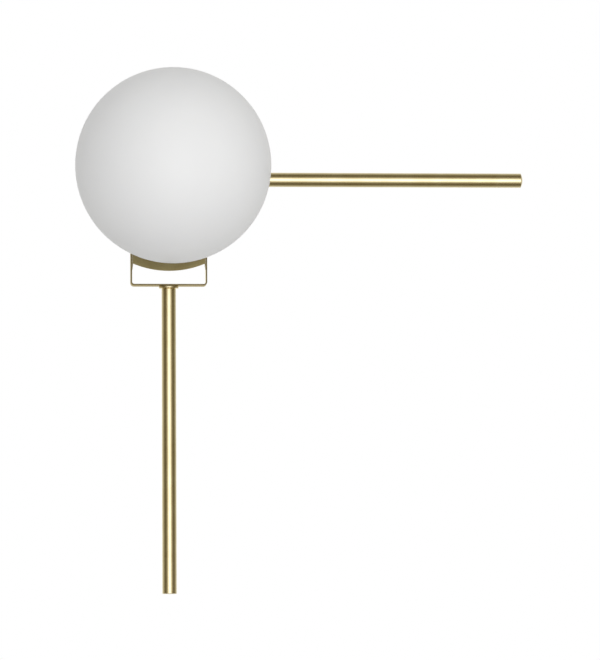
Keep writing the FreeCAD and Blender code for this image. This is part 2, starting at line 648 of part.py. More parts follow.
def bridge_rivets():
    """The two rivets that stop the bridge's tabs turning on the arms: domed outside, flush inside."""
    rivets = []
    for side in (-1, 1):
        direction = V(side, 0, 0)
        foot = Part.makeCone(
            RIVET_RADIUS + RIVET_SINK_WIDENING, RIVET_RADIUS, BRIDGE_THICKNESS,
            V(side * TAB_INNER_X, PIVOT_Y, -RIVET_DROP), direction,
        )
        shank = cylinder_x(RIVET_RADIUS, side * ARM_INNER_X, side * ARM_OUTER_X, PIVOT_Y, -RIVET_DROP)
        seat = V(side * ARM_OUTER_X, PIVOT_Y, -RIVET_DROP)
        head = place(dome_head(RIVET_HEAD_RADIUS, RIVET_HEAD_HEIGHT), seat, direction)
        rivets.append(foot.fuse(shank).fuse(head))
    return Part.makeCompound(rivets)


def pivot_end_x():
    """How near the middle the pivots' threads end."""
    return EAR_INNER_X - FACE_GAP - FLAT_WASHER_HEIGHT - PIVOT_NUT_HEIGHT - PIVOT_THREAD_END


def left_pivot_screw():
    """The slotted pivot screw through the left arm, tab and ear."""
    head_end = -ARM_OUTER_X - PIVOT_HEAD_HEIGHT
    head = cylinder_x(PIVOT_HEAD_RADIUS, head_end, -ARM_OUTER_X, PIVOT_Y)
    rim = edges_where(head, lambda c, e: is_circle(e, PIVOT_HEAD_RADIUS) and c.x < -ARM_OUTER_X - PAST)
    head = head.makeFillet(PIVOT_HEAD_EDGE, rim)
    slot_half = PIVOT_SLOT_WIDTH / 2
    slot = block(
        (head_end - PAST, head_end + PIVOT_SLOT_DEPTH),
        (PIVOT_Y - 2 * PIVOT_HEAD_RADIUS, PIVOT_Y + 2 * PIVOT_HEAD_RADIUS),
        (-slot_half, slot_half),
    )
    shank = cylinder_x(PIVOT_RADIUS, -ARM_OUTER_X, -pivot_end_x(), PIVOT_Y)
    return head.cut(slot).fuse(shank)


def ring_x(outer, x_start, x_end):
    """A washer on the pivots' axis."""
    ring = cylinder_x(outer, x_start, x_end, PIVOT_Y)
    low, high = sorted((x_start, x_end))
    return ring.cut(cylinder_x(PIVOT_RADIUS + FIT_GAP, low - PAST, high + PAST, PIVOT_Y))


def friction_washers():
    """The two friction washers between the bridge's tabs and the carrier's ears, which hold the tilt."""
    rings = []
    for side in (-1, 1):
        start = EAR_OUTER_X + FACE_GAP
        rings.append(ring_x(FRICTION_WASHER_RADIUS, side * start, side * (start + FRICTION_WASHER_HEIGHT)))
    return Part.makeCompound(rings)


def pivot_washers():
    """The two flat washers under the pivots' nuts."""
    start = EAR_INNER_X - FACE_GAP
    return Part.makeCompound(
        [ring_x(FLAT_WASHER_RADIUS, side * start, side * (start - FLAT_WASHER_HEIGHT)) for side in (-1, 1)]
    )


def pivot_nuts():
    """The two locking nuts on the pivots' threads."""
    nuts = []
    for side in (-1, 1):
        x = side * (EAR_INNER_X - FACE_GAP - FLAT_WASHER_HEIGHT)
        nut = hexagon(PIVOT_NUT_FLATS, PIVOT_NUT_HEIGHT, V(x, PIVOT_Y, 0), V(-side, 0, 0))
        low, high = x - PIVOT_NUT_HEIGHT - PAST, x + PIVOT_NUT_HEIGHT + PAST
        nuts.append(nut.cut(cylinder_x(PIVOT_RADIUS + FIT_GAP, low, high, PIVOT_Y)))
    return Part.makeCompound(nuts)


def collar(start, direction, hole_radius):
    """The thin round collar between the strap and a rod, turned round towards the strap."""
    ring = Part.makeCylinder(COLLAR_RADIUS, COLLAR_HEIGHT)
    strap_rim = edges_where(ring, lambda c, e: is_circle(e, COLLAR_RADIUS) and c.z < COLLAR_HEIGHT / 2)
    ring = ring.makeFillet(COLLAR_EDGE_RADIUS, strap_rim)
    rod_rim = edges_where(ring, lambda c, e: is_circle(e, COLLAR_RADIUS) and c.z > COLLAR_HEIGHT - PAST)
    ring = ring.makeFillet(COLLAR_RIM_RADIUS, rod_rim)
    ring = ring.cut(Part.makeCylinder(hole_radius + FIT_GAP, COLLAR_HEIGHT + 2, V(0, 0, -1)))
    return place(ring, start, direction)


def side_arm_collar():
    """The collar between the yoke's right arm and the side arm."""
    return collar(V(ARM_OUTER_X, PIVOT_Y, 0), V(1, 0, 0), PIVOT_RADIUS)


def drop_rod_collar():
    """The collar between the yoke's floor and the drop rod."""
    return collar(V(0, PIVOT_Y, -YOKE_DROP), V(0, 0, -1), DROP_SCREW_RADIUS)


def side_arm():
    """The brass tube that reaches sideways."""
    end = SIDE_ARM_REACH - ARM_CAP_LENGTH
    tube = cylinder_x(ROD_RADIUS, COLLAR_END_X, end, PIVOT_Y)
    joint = edges_where(tube, lambda c, e: is_circle(e, ROD_RADIUS) and c.x < COLLAR_END_X + PAST)
    tube = tube.makeChamfer(JOINT_CHAMFER, joint)
    return tube.cut(cylinder_x(TUBE_BORE, COLLAR_END_X - PAST, end + PAST, PIVOT_Y))


def side_arm_stud():
    """The plug in the side arm's inner end, with the threaded stud that is also the right-hand pivot."""
    plug = cylinder_x(PLUG_RADIUS, COLLAR_END_X, COLLAR_END_X + PLUG_LENGTH, PIVOT_Y)
    return plug.fuse(cylinder_x(PIVOT_RADIUS, pivot_end_x(), COLLAR_END_X, PIVOT_Y))


def side_arm_end_cap():
    """The turned cap that closes the side arm's outer end, with a shallow domed face."""
    start = SIDE_ARM_REACH - ARM_CAP_LENGTH
    body = cylinder_x(ROD_RADIUS, start, SIDE_ARM_REACH, PIVOT_Y)
    ball = (ROD_RADIUS**2 + ARM_CAP_DOME**2) / (2 * ARM_CAP_DOME)
    body = body.common(Part.makeSphere(ball, V(SIDE_ARM_REACH - ball, PIVOT_Y, 0)))
    corner = edges_where(body, lambda c, e: is_circle(e, ROD_RADIUS) and c.x > start + PAST)
    body = body.makeFillet(ARM_CAP_EDGE, corner)
    return body.fuse(cylinder_x(PLUG_RADIUS, start - CAP_SPIGOT_LENGTH, start, PIVOT_Y))


def drop_rod():
    """The brass tube that hangs under the yoke."""
    foot = -DROP_ROD_REACH + DROP_CAP_LENGTH
    tube = cylinder_z(ROD_RADIUS, COLLAR_FOOT_Z, foot, 0, PIVOT_Y)
    joint = edges_where(tube, lambda c, e: is_circle(e, ROD_RADIUS) and c.z > COLLAR_FOOT_Z - PAST)
    tube = tube.makeChamfer(JOINT_CHAMFER, joint)
    return tube.cut(cylinder_z(TUBE_BORE, COLLAR_FOOT_Z + PAST, foot - PAST, 0, PIVOT_Y))


def drop_rod_plug():
    """The tapped plug in the drop rod's upper end."""
    plug = cylinder_z(PLUG_RADIUS, COLLAR_FOOT_Z, COLLAR_FOOT_Z - PLUG_LENGTH, 0, PIVOT_Y)
    depth = DROP_SCREW_LENGTH + DROP_SCREW_END_ROOM - STRAP_THICKNESS - COLLAR_HEIGHT
    return plug.cut(
        cylinder_z(DROP_SCREW_RADIUS + FIT_GAP, COLLAR_FOOT_Z + PAST, COLLAR_FOOT_Z - depth, 0, PIVOT_Y)
    )


def drop_rod_screw():
    """The countersunk screw, flush with the yoke's floor, that holds the drop rod."""
    head = Part.makeCone(
        DROP_SCREW_RADIUS, DROP_SCREW_RADIUS + STRAP_THICKNESS, STRAP_THICKNESS,
        V(0, PIVOT_Y, -YOKE_DROP), V(0, 0, 1),
    )
    floor = V(0, PIVOT_Y, YOKE_FLOOR_Z - DROP_SOCKET_DEPTH)
    socket = hexagon(DROP_SOCKET_FLATS, DROP_SOCKET_DEPTH + PAST, floor, V(0, 0, 1))
    shank = cylinder_z(DROP_SCREW_RADIUS, -YOKE_DROP, YOKE_FLOOR_Z - DROP_SCREW_LENGTH, 0, PIVOT_Y)
    return head.cut(socket).fuse(shank)


def drop_rod_end_cap():
    """The flat cap that closes the drop rod's lower end."""
    start = -DROP_ROD_REACH + DROP_CAP_LENGTH
    body = cylinder_z(ROD_RADIUS, start, -DROP_ROD_REACH, 0, PIVOT_Y)
    corner = edges_where(body, lambda c, e: is_circle(e, ROD_RADIUS) and c.z < start - PAST)
    body = body.makeChamfer(DROP_CAP_CHAMFER, corner)
    return body.fuse(cylinder_z(PLUG_RADIUS, start, start + CAP_SPIGOT_LENGTH, 0, PIVOT_Y))


def carrier_plate():
    """The plate that carries the globe: round above and below, straight at the arms, an ear at each pivot."""
    disc = cylinder_y(CARRIER_RADIUS, CARRIER_BACK_Y, CARRIER_FRONT_Y)
    half = ARM_INNER_X - CARRIER_SIDE_GAP
    reach = CARRIER_RADIUS + PAST
    span = (CARRIER_BACK_Y + PAST, CARRIER_FRONT_Y - PAST)
    plate = disc.common(block((-half, half), span, (-reach, reach)))
    for side in (-1, 1):
        notch = block(
            (side * EAR_OUTER_X, side * (half + PAST)), span,
            (-BRIDGE_TAB_DROP - EAR_CLEARANCE, STRAP_HALF + EAR_CLEARANCE),
        )
        plate = plate.cut(notch)
        x = side * EAR_OUTER_X if side < 0 else EAR_INNER_X
        ear = block((x, x + EAR_THICKNESS), (CARRIER_FRONT_Y, PIVOT_Y), (-EAR_RADIUS, EAR_RADIUS))
        ear = ear.fuse(cylinder_x(EAR_RADIUS, x, x + EAR_THICKNESS, PIVOT_Y))
        beyond = PIVOT_Y - EAR_RADIUS - PAST
        in_front = block((x, x + EAR_THICKNESS), (CARRIER_FRONT_Y, beyond), (-EAR_RADIUS, EAR_RADIUS))
        plate = plate.fuse(ear.cut(in_front))
    plate = plate.removeSplitter()
    for side in (-1, 1):
        ends = (side * (EAR_INNER_X - PAST), side * (EAR_OUTER_X + PAST))
        hole = cylinder_x(PIVOT_RADIUS + FIT_GAP, ends[0], ends[1], PIVOT_Y)
        plate = plate.cut(hole)
    plate = plate.cut(cylinder_y(NIPPLE_RADIUS + FIT_GAP, span[0], span[1]))
    for angle in GALLERY_SCREW_ANGLES:
        plate = plate.cut(screw_hole(angle, span[0], span[1]))
    return plate


def screw_place(angle_deg):
    """The X and Z of a gallery screw."""
    angle = math.radians(angle_deg)
    return GALLERY_SCREW_CIRCLE * math.cos(angle), GALLERY_SCREW_CIRCLE * math.sin(angle)


def screw_hole(angle_deg, y_back, y_front):
    """A clearance hole for a gallery screw."""
    x, z = screw_place(angle_deg)
    return cylinder_y(GALLERY_SCREW_RADIUS + SCREW_HOLE_GAP, y_back, y_front, x, z)


def radial(angle_deg, distance):
    """A point at a distance from the axis, in the plane of the thumbscrews."""
    angle = math.radians(angle_deg)
    return V(distance * math.cos(angle), THUMB_Y, distance * math.sin(angle))


def outward(angle_deg):
    """The outward direction at an angle round the axis."""
    angle = math.radians(angle_deg)
    return V(math.cos(angle), 0, math.sin(angle))


def gallery():
    """The shallow brass cup that takes the globe's neck, with a beaded rim and a boss for each thumbscrew."""
    cup = cylinder_y(GALLERY_RADIUS, CARRIER_FRONT_Y, GALLERY_RIM_Y)
    rim_centre = V(0, GALLERY_RIM_Y + GALLERY_BEAD_RADIUS, 0)
    rim = Part.makeTorus(GALLERY_RADIUS, GALLERY_BEAD_RADIUS, rim_centre, V(0, 1, 0))
    cup = cup.fuse(rim)
    boss_start = GALLERY_INNER_RADIUS + GALLERY_WALL / 2
    boss_end = GALLERY_RADIUS + THUMB_BOSS_HEIGHT
    for angle in THUMB_ANGLES.values():
        start = radial(angle, boss_start)
        cup = cup.fuse(Part.makeCylinder(THUMB_BOSS_RADIUS, boss_end - boss_start, start, outward(angle)))
    cup = cup.cut(cylinder_y(GALLERY_INNER_RADIUS, GALLERY_FLOOR_Y, GALLERY_RIM_Y - 5))
    for angle in THUMB_ANGLES.values():
        start = GALLERY_INNER_RADIUS - 2
        bore = Part.makeCylinder(
            THUMB_THREAD_RADIUS + FIT_GAP, boss_end + PAST - start, radial(angle, start), outward(angle)
        )
        cup = cup.cut(bore)
    cup = cup.cut(cylinder_y(NIPPLE_RADIUS + FIT_GAP, CARRIER_FRONT_Y + PAST, GALLERY_FLOOR_Y - PAST))
    for angle in GALLERY_SCREW_ANGLES:
        cup = cup.cut(screw_hole(angle, CARRIER_FRONT_Y + PAST, GALLERY_FLOOR_Y - PAST))
    return cup


def gallery_screws():
    """The three cheese-head screws that hold the gallery on the carrier plate."""
    screws = []
    tail = GALLERY_SCREW_END + GALLERY_NUT_HEIGHT + CARRIER_THICKNESS + GALLERY_BASE
    for angle in GALLERY_SCREW_ANGLES:
        x, z = screw_place(angle)
        head = Part.makeCylinder(GALLERY_SCREW_HEAD_RADIUS, GALLERY_SCREW_HEAD_HEIGHT)
        slot = screw_slot(
            GALLERY_SCREW_HEAD_RADIUS, GALLERY_SCREW_HEAD_HEIGHT, SMALL_SLOT_WIDTH, SMALL_SLOT_DEPTH
        )
        shank = Part.makeCylinder(GALLERY_SCREW_RADIUS, tail, V(0, 0, -tail))
        screws.append(place(head.cut(slot).fuse(shank), V(x, GALLERY_FLOOR_Y, z), V(0, -1, 0)))
    return Part.makeCompound(screws)


def gallery_nuts():
    """The nuts of the gallery screws, behind the carrier plate."""
    nuts = []
    back = CARRIER_BACK_Y + GALLERY_NUT_HEIGHT
    for angle in GALLERY_SCREW_ANGLES:
        x, z = screw_place(angle)
        nut = hexagon(GALLERY_NUT_FLATS, GALLERY_NUT_HEIGHT, V(x, back, z), V(0, -1, 0))
        bore = cylinder_y(GALLERY_SCREW_RADIUS + FIT_GAP, back + PAST, CARRIER_BACK_Y - PAST, x, z)
        nuts.append(nut.cut(bore))
    return Part.makeCompound(nuts)


def seat_ring():
    """The soft ring that the globe's lip rests on."""
    return tube_y(LIP_RADIUS, LIP_RADIUS - SEAT_RING_WIDTH, GALLERY_FLOOR_Y, LIP_BACK_Y)


def thumbscrew(angle_deg):
    """One knurled thumbscrew, whose tip stands in front of the globe's lip."""
    tip = NECK_RADIUS + THUMB_TIP_GAP
    head_start = GALLERY_RADIUS + THUMB_BOSS_HEIGHT + THUMB_HEAD_GAP
    thread = Part.makeCylinder(THUMB_THREAD_RADIUS, head_start - tip, V(0, 0, tip - head_start))
    head = Part.makeCylinder(THUMB_HEAD_RADIUS, THUMB_HEAD_HEIGHT)
    rims = edges_where(head, lambda c, e: is_circle(e, THUMB_HEAD_RADIUS))
    head = head.makeChamfer(THUMB_HEAD_CHAMFER, rims)
    for i in range(THUMB_KNURLS):
        angle = 2 * math.pi * i / THUMB_KNURLS
        place_out = THUMB_HEAD_RADIUS + THUMB_KNURL_DEPTH
        groove = Part.makeCylinder(
            2 * THUMB_KNURL_DEPTH, THUMB_HEAD_HEIGHT + 2,
            V(place_out * math.cos(angle), place_out * math.sin(angle), -1),
        )
        head = head.cut(groove)
    return place(head.fuse(thread), radial(angle_deg, head_start), outward(angle_deg))


def globe():
    """The opal glass globe, with its neck and rolled lip at the back."""
    outer = Part.makeSphere(GLOBE_RADIUS, V(0, GLOBE_Y, 0))
    neck_start = GLOBE_Y + GLOBE_RADIUS / 2
    outer = outer.fuse(cylinder_y(NECK_RADIUS, LIP_BACK_Y, neck_start))
    joint = edges_where(outer, lambda c, e: is_circle(e, NECK_RADIUS) and abs(c.y - NECK_FRONT_Y) < NEAR)
    outer = outer.makeFillet(NECK_FILLET, joint)
    lip = cylinder_y(LIP_RADIUS, LIP_BACK_Y, LIP_FRONT_Y)
    lip = lip.makeFillet(LIP_HEIGHT * 0.4, edges_where(lip, lambda c, e: is_circle(e, LIP_RADIUS)))
    outer = outer.fuse(lip)
    inner = Part.makeSphere(GLOBE_RADIUS - GLASS_WALL, V(0, GLOBE_Y, 0))
    inner = inner.fuse(cylinder_y(NECK_RADIUS - NECK_WALL, LIP_BACK_Y + PAST, neck_start))
    return outer.cut(inner)


def lampholder_nipple():
    """The short hollow nipple that clamps lampholder, gallery and carrier plate together."""
    return tube_y(NIPPLE_RADIUS, NIPPLE_BORE_RADIUS, HOLDER_NIPPLE_REAR_Y, HOLDER_NIPPLE_FRONT_Y)


def lampholder():
    """The moulded screw lampholder, with a narrow base and a wider skirt."""
    base = cylinder_y(HOLDER_BASE_RADIUS, GALLERY_FLOOR_Y, CAVITY_FLOOR_Y)
    skirt = cylinder_y(HOLDER_RADIUS, GALLERY_FLOOR_Y - HOLDER_SKIRT_START, HOLDER_FRONT_Y)
    skirt = skirt.makeFillet(HOLDER_EDGE_RADIUS, edges_where(skirt, lambda c, e: is_circle(e, HOLDER_RADIUS)))
    body = base.fuse(skirt)
    groove_front = HOLDER_FRONT_Y + HOLDER_RIB_START
    groove_circle = HOLDER_RADIUS + HOLDER_RIB_INSET
    for i in range(HOLDER_RIBS):
        angle = 2 * math.pi * i / HOLDER_RIBS
        groove = cylinder_y(
            HOLDER_RIB_RADIUS, groove_front + HOLDER_RIB_LENGTH, groove_front,
            groove_circle * math.cos(angle), groove_circle * math.sin(angle),
        )
        body = body.cut(groove)
    body = body.cut(cylinder_y(HOLDER_RADIUS - HOLDER_WALL, CAVITY_FLOOR_Y, HOLDER_FRONT_Y - PAST))
    body = body.cut(cylinder_y(NIPPLE_RADIUS + FIT_GAP, GALLERY_FLOOR_Y + PAST, HOLDER_NIPPLE_FRONT_Y))
    wire_bay = cylinder_y(
        NIPPLE_BORE_RADIUS, HOLDER_NIPPLE_FRONT_Y + PAST, HOLDER_NIPPLE_FRONT_Y - HOLDER_WIRE_BAY
    )
    return body.cut(wire_bay)


def screw_shell():
    """The brass screw shell inside the lampholder, on its own flange."""
    back = CAVITY_FLOOR_Y - SCREW_SHELL_RISE
    inner = SCREW_SHELL_RADIUS - SCREW_SHELL_WALL
    shell = tube_y(SCREW_SHELL_RADIUS, inner, CAVITY_FLOOR_Y, back - SCREW_SHELL_LENGTH)
    flange = tube_y(
        HOLDER_RADIUS - HOLDER_WALL - FIT_GAP, inner, CAVITY_FLOOR_Y, CAVITY_FLOOR_Y - SCREW_SHELL_FLANGE
    )
    return shell.fuse(flange)


def centre_contact():
    """The lampholder's centre contact."""
    return cylinder_y(CONTACT_RADIUS, CAVITY_FLOOR_Y, CAVITY_FLOOR_Y - CONTACT_HEIGHT)


def bulb_contact():
    """The bulb's insulated end button."""
    return cylinder_y(BULB_CONTACT_RADIUS, BULB_CONTACT_Y, BULB_CAP_Y)


def bulb_cap():
    """The bulb's screw cap."""
    cap = cylinder_y(BULB_CAP_RADIUS, BULB_CAP_Y, BULB_BODY_Y)
    tail = edges_where(cap, lambda c, e: is_circle(e, BULB_CAP_RADIUS) and c.y > BULB_BODY_Y + PAST)
    return cap.makeChamfer(BULB_CAP_CHAMFER, tail)


def bulb_body():
    """The bulb's plastic body, a straight shank that flares to the dome."""
    shank_end = BULB_BODY_Y - BULB_BODY_SHANK
    shank = cylinder_y(BULB_BODY_THROAT, BULB_BODY_Y, shank_end)
    flare = Part.makeCone(
        BULB_BODY_THROAT, BULB_RADIUS, BULB_BODY_LENGTH - BULB_BODY_SHANK, V(0, shank_end, 0), V(0, -1, 0)
    )
    return shank.fuse(flare)


def bulb_dome():
    """The bulb's frosted dome."""
    ball = Part.makeSphere(BULB_RADIUS, V(0, BULB_DOME_Y, 0))
    ball = ball.cut(Part.makeSphere(BULB_RADIUS - BULB_DOME_WALL, V(0, BULB_DOME_Y, 0)))
    return ball.cut(cylinder_y(BULB_RADIUS + PAST, BULB_DOME_Y + BULB_RADIUS + PAST, BULB_DOME_Y))


def flex_rear():
    """The sheathed cord inside the stem nipple."""
    return cylinder_y(FLEX_RADIUS, STEM_REAR_Y + FLEX_TAIL, STEM_FRONT_Y)


def flex_middle():
    """The short free stretch of cord between the two nipples, which bends as the carrier tilts."""
    return cylinder_y(FLEX_RADIUS, STEM_FRONT_Y, HOLDER_NIPPLE_REAR_Y)


def flex_front():
    """The sheathed cord inside the lampholder nipple."""
    return cylinder_y(FLEX_RADIUS, HOLDER_NIPPLE_REAR_Y, HOLDER_NIPPLE_FRONT_Y)


NODES = {
    "wall_bracket": wall_bracket,
    "canopy": canopy,
    "canopy_screws": canopy_screws,
    "earth_tag": earth_tag,
    "earth_screw": earth_screw,
    "terminal_block": terminal_block,
    "terminal_screws": terminal_screws,
    "live_core": live_core,
    "neutral_core": neutral_core,
    "earth_core": earth_core,
    "stem_nipple": stem_nipple,
    "stem_nut_rear": lambda: thin_nut(STEM_NUT_REAR_Y + THIN_NUT_HEIGHT),
    "stem_nut_front": lambda: thin_nut(STEM_NUT_FRONT_Y),
    "stem_washer_rear": lambda: toothed_washer(CANOPY_FLOOR_Y + TOOTHED_WASHER_HEIGHT),
    "stem_washer_front": lambda: toothed_washer(BRIDGE_FRONT_Y),
    "stem_sleeve": stem_sleeve,
    "yoke": yoke,
    "rear_bridge": rear_bridge,
    "bridge_rivets": bridge_rivets,
    "left_pivot_screw": left_pivot_screw,
    "friction_washers": friction_washers,
    "pivot_washers": pivot_washers,
    "pivot_nuts": pivot_nuts,
    "side_arm_collar": side_arm_collar,
    "side_arm": side_arm,
    "side_arm_stud": side_arm_stud,
    "side_arm_end_cap": side_arm_end_cap,
    "drop_rod_collar": drop_rod_collar,
    "drop_rod": drop_rod,
    "drop_rod_plug": drop_rod_plug,
    "drop_rod_screw": drop_rod_screw,
    "drop_rod_end_cap": drop_rod_end_cap,
    "carrier_plate": carrier_plate,
    "gallery": gallery,
    "gallery_screws": gallery_screws,
    "gallery_nuts": gallery_nuts,
    "seat_ring": seat_ring,
    "globe": globe,
    "lampholder_nipple": lampholder_nipple,
    "lampholder_nut": lambda: thin_nut(HOLDER_NUT_Y + THIN_NUT_HEIGHT),
    "lampholder_washer": lambda: toothed_washer(CARRIER_BACK_Y + TOOTHED_WASHER_HEIGHT),
    "lampholder": lampholder,
    "screw_shell": screw_shell,
    "centre_contact": centre_contact,
    "bulb_contact": bulb_contact,
    "bulb_cap": bulb_cap,
    "bulb_body": bulb_body,
    "bulb_dome": bulb_dome,
    "flex_rear": flex_rear,
    "flex_middle": flex_middle,
    "flex_front": flex_front,
}
for place_name, place_angle in THUMB_ANGLES.items():
    NODES["thumbscrew_" + place_name] = lambda angle=place_angle: thumbscrew(angle)

os.makedirs("parts", exist_ok=True)
for name, build in NODES.items():
    shape = build()
    solids = shape.Solids
    assert solids and all(s.isValid() and s.Volume > 0 for s in solids), name
    whole = solids[0] if len(solids) == 1 else Part.makeCompound(solids)
    whole.exportStep("parts/" + name + ".step")
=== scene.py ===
import math

import bmesh
import bpy
from mathutils import Matrix, Vector


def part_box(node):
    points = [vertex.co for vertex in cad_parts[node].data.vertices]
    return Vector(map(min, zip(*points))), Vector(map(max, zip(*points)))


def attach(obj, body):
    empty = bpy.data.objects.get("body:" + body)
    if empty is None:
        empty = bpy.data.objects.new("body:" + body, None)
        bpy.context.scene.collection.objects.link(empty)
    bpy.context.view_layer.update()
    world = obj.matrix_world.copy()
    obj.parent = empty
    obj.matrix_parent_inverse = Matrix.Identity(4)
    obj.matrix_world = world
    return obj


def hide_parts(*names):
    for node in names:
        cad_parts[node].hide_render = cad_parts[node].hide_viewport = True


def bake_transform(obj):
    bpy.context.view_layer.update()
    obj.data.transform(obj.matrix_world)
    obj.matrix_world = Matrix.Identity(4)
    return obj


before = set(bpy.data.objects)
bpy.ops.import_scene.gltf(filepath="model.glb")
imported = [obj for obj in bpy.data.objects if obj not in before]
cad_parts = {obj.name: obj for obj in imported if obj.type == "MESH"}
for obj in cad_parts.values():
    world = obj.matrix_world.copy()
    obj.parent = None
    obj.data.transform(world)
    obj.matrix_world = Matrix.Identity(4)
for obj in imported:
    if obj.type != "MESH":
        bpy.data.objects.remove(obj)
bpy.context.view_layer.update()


# Wall bracket
# The pressed steel strip that carries the whole lamp, screwed flat to the wall behind the canopy, with
# its earth screw and ring tag. It is zinc plated, so it is a dull blue-grey with a faint spangle, and its
# sheared edges are brighter.

SCRATCH_SCALE = 2600.0
SPECKLE_SCALE = 1500.0
NOISE_MIDDLE = 0.5
SHADE_CONTRAST = 1.6
FLECK_STRENGTH = 0.35
FLAT_COSINE = 0.995
EDGE_COSINE = 0.85
GRAIN_DEPTH = 0.00001


def node_adder(tree):
    """Gives the function that adds nodes to a tree. Inputs are values or links, by name or as _number."""

    def add(kind, settings=None, **inputs):
        node = tree.nodes.new("ShaderNode" + kind)
        for name, value in (settings or {}).items():
            setattr(node, name, value)
        for name, value in inputs.items():
            key = int(name[1:]) if name[0] == "_" else name.replace("_", " ")
            if isinstance(value, bpy.types.NodeSocket):
                tree.links.new(value, node.inputs[key])
            else:
                node.inputs[key].default_value = value
        return node

    return add


def new_effect(name, inputs, outputs):
    """An empty node group with named sockets: gives its tree, adder, and input and output nodes."""
    tree = bpy.data.node_groups.new(name, "ShaderNodeTree")
    for socket, (kind, value) in inputs.items():
        made = tree.interface.new_socket(socket, in_out="INPUT", socket_type="NodeSocket" + kind)
        made.default_value = value
    for socket, kind in outputs.items():
        tree.interface.new_socket(socket, in_out="OUTPUT", socket_type="NodeSocket" + kind)
    return tree, node_adder(tree), tree.nodes.new("NodeGroupInput"), tree.nodes.new("NodeGroupOutput")


def colour_mix(add, mask, under, over):
    """One colour laid over another by a mask, whichever of them is a link."""
    return add("Mix", {"data_type": "RGBA"}, _0=mask, _6=under, _7=over).outputs[2]


def metal_grain():
    """The lay of a brushed or rolled metal: long scratches along one axis, and a fine satin speckle."""
    tree, add, given, result = new_effect(
        "metal_grain",
        {"Lay": ("Vector", (1.0, 1.0, 1.0)), "Scratches": ("Float", 0.5), "Speckle": ("Float", 0.5)},
        {"Height": "Float", "Shade": "Float"},
    )
    place = add("TexCoord").outputs["Object"]
    stretched = add("VectorMath", {"operation": "MULTIPLY"}, _0=place, _1=given.outputs["Lay"])
    scratches = add(
        "TexNoise", Vector=stretched.outputs[0], Scale=SCRATCH_SCALE, Detail=3.0, Roughness=0.6
    )
    speckle = add("TexNoise", Vector=place, Scale=SPECKLE_SCALE, Detail=2.0, Roughness=0.7)
    parts = []
    for texture, weight in ((scratches, "Scratches"), (speckle, "Speckle")):
        level = add("Math", {"operation": "SUBTRACT"}, _0=texture.outputs[0], _1=NOISE_MIDDLE)
        part = add("Math", {"operation": "MULTIPLY"}, _0=level.outputs[0], _1=given.outputs[weight])
        parts.append(part.outputs[0])
    both = add("Math", {"operation": "ADD"}, _0=parts[0], _1=parts[1])
    height = add("Math", {"operation": "ADD"}, _0=both.outputs[0], _1=NOISE_MIDDLE)
    shade = add(
        "Math", {"operation": "MULTIPLY_ADD", "use_clamp": True},
        _0=both.outputs[0], _1=SHADE_CONTRAST, _2=NOISE_MIDDLE,
    )
    tree.links.new(height.outputs[0], result.inputs["Height"])
    tree.links.new(shade.outputs[0], result.inputs["Shade"])
    return tree


def soft_clouds():
    """Slow patches over a surface, as handling, polish or uneven plating leave them."""
    tree, add, given, result = new_effect(
        "soft_clouds",
        {"Scale": ("Float", 30.0), "Low": ("Float", 0.35), "High": ("Float", 0.65)},
        {"Mask": "Float"},
    )
    place = add("TexCoord").outputs["Object"]
    noise = add("TexNoise", Vector=place, Scale=given.outputs["Scale"], Detail=4.0, Roughness=0.55)
    mask = add(
        "MapRange", {"interpolation_type": "SMOOTHSTEP"},
        Value=noise.outputs[0], From_Min=given.outputs["Low"], From_Max=given.outputs["High"],
    )
    tree.links.new(mask.outputs[0], result.inputs["Mask"])
    return tree


def rubbed_edges():
    """A mask that is bright on outer edges and corners, broken up, where hands and cloths have rubbed."""
    tree, add, given, result = new_effect(
        "rubbed_edges", {"Radius": ("Float", 0.0005), "Break": ("Float", 400.0)}, {"Mask": "Float"}
    )
    rounded = add("Bevel", {"samples": 4}, Radius=given.outputs["Radius"])
    flat = add("NewGeometry")
    alike = add(
        "VectorMath", {"operation": "DOT_PRODUCT"}, _0=rounded.outputs[0], _1=flat.outputs["Normal"]
    )
    edge = add(
        "MapRange", {"interpolation_type": "SMOOTHSTEP"},
        Value=alike.outputs["Value"], From_Min=FLAT_COSINE, From_Max=EDGE_COSINE, To_Min=0.0, To_Max=1.0,
    )
    place = add("TexCoord").outputs["Object"]
    noise = add("TexNoise", Vector=place, Scale=given.outputs["Break"], Detail=3.0)
    broken = add("MapRange", Value=noise.outputs[0], From_Min=0.3, From_Max=0.6)
    mask = add("Math", {"operation": "MULTIPLY"}, _0=edge.outputs[0], _1=broken.outputs[0])
    tree.links.new(mask.outputs[0], result.inputs["Mask"])
    return tree


effects = {"grain": metal_grain(), "clouds": soft_clouds(), "edges": rubbed_edges()}


def new_material(name):
    """A material with one Principled shader, and the adder for its tree."""
    material = bpy.data.materials.new(name)
    material.use_nodes = True
    tree = material.node_tree
    tree.nodes.clear()
    add = node_adder(tree)
    shader = add("BsdfPrincipled")
    add("OutputMaterial", Surface=shader.outputs["BSDF"])
    return material, add, shader


def effect(add, name, **inputs):
    """An effect group placed in a material."""
    return add("Group", {"node_tree": effects[name]}, **inputs).outputs


def finish_shader(add, shader, colour, roughness, height=None, depth=GRAIN_DEPTH, **constants):
    """Feeds a shader its colour, roughness and bump, and sets what is the same all over."""
    links = shader.id_data.links
    links.new(colour, shader.inputs["Base Color"])
    links.new(roughness, shader.inputs["Roughness"])
    if height is not None:
        bump = add("Bump", Height=height, Distance=depth, Strength=1.0)
        links.new(bump.outputs["Normal"], shader.inputs["Normal"])
    for name, value in constants.items():
        shader.inputs[name.replace("_", " ")].default_value = value


def spread(add, mask, low, high):
    """A mask turned into a value between two limits."""
    return add("MapRange", Value=mask, To_Min=low, To_Max=high).outputs[0]


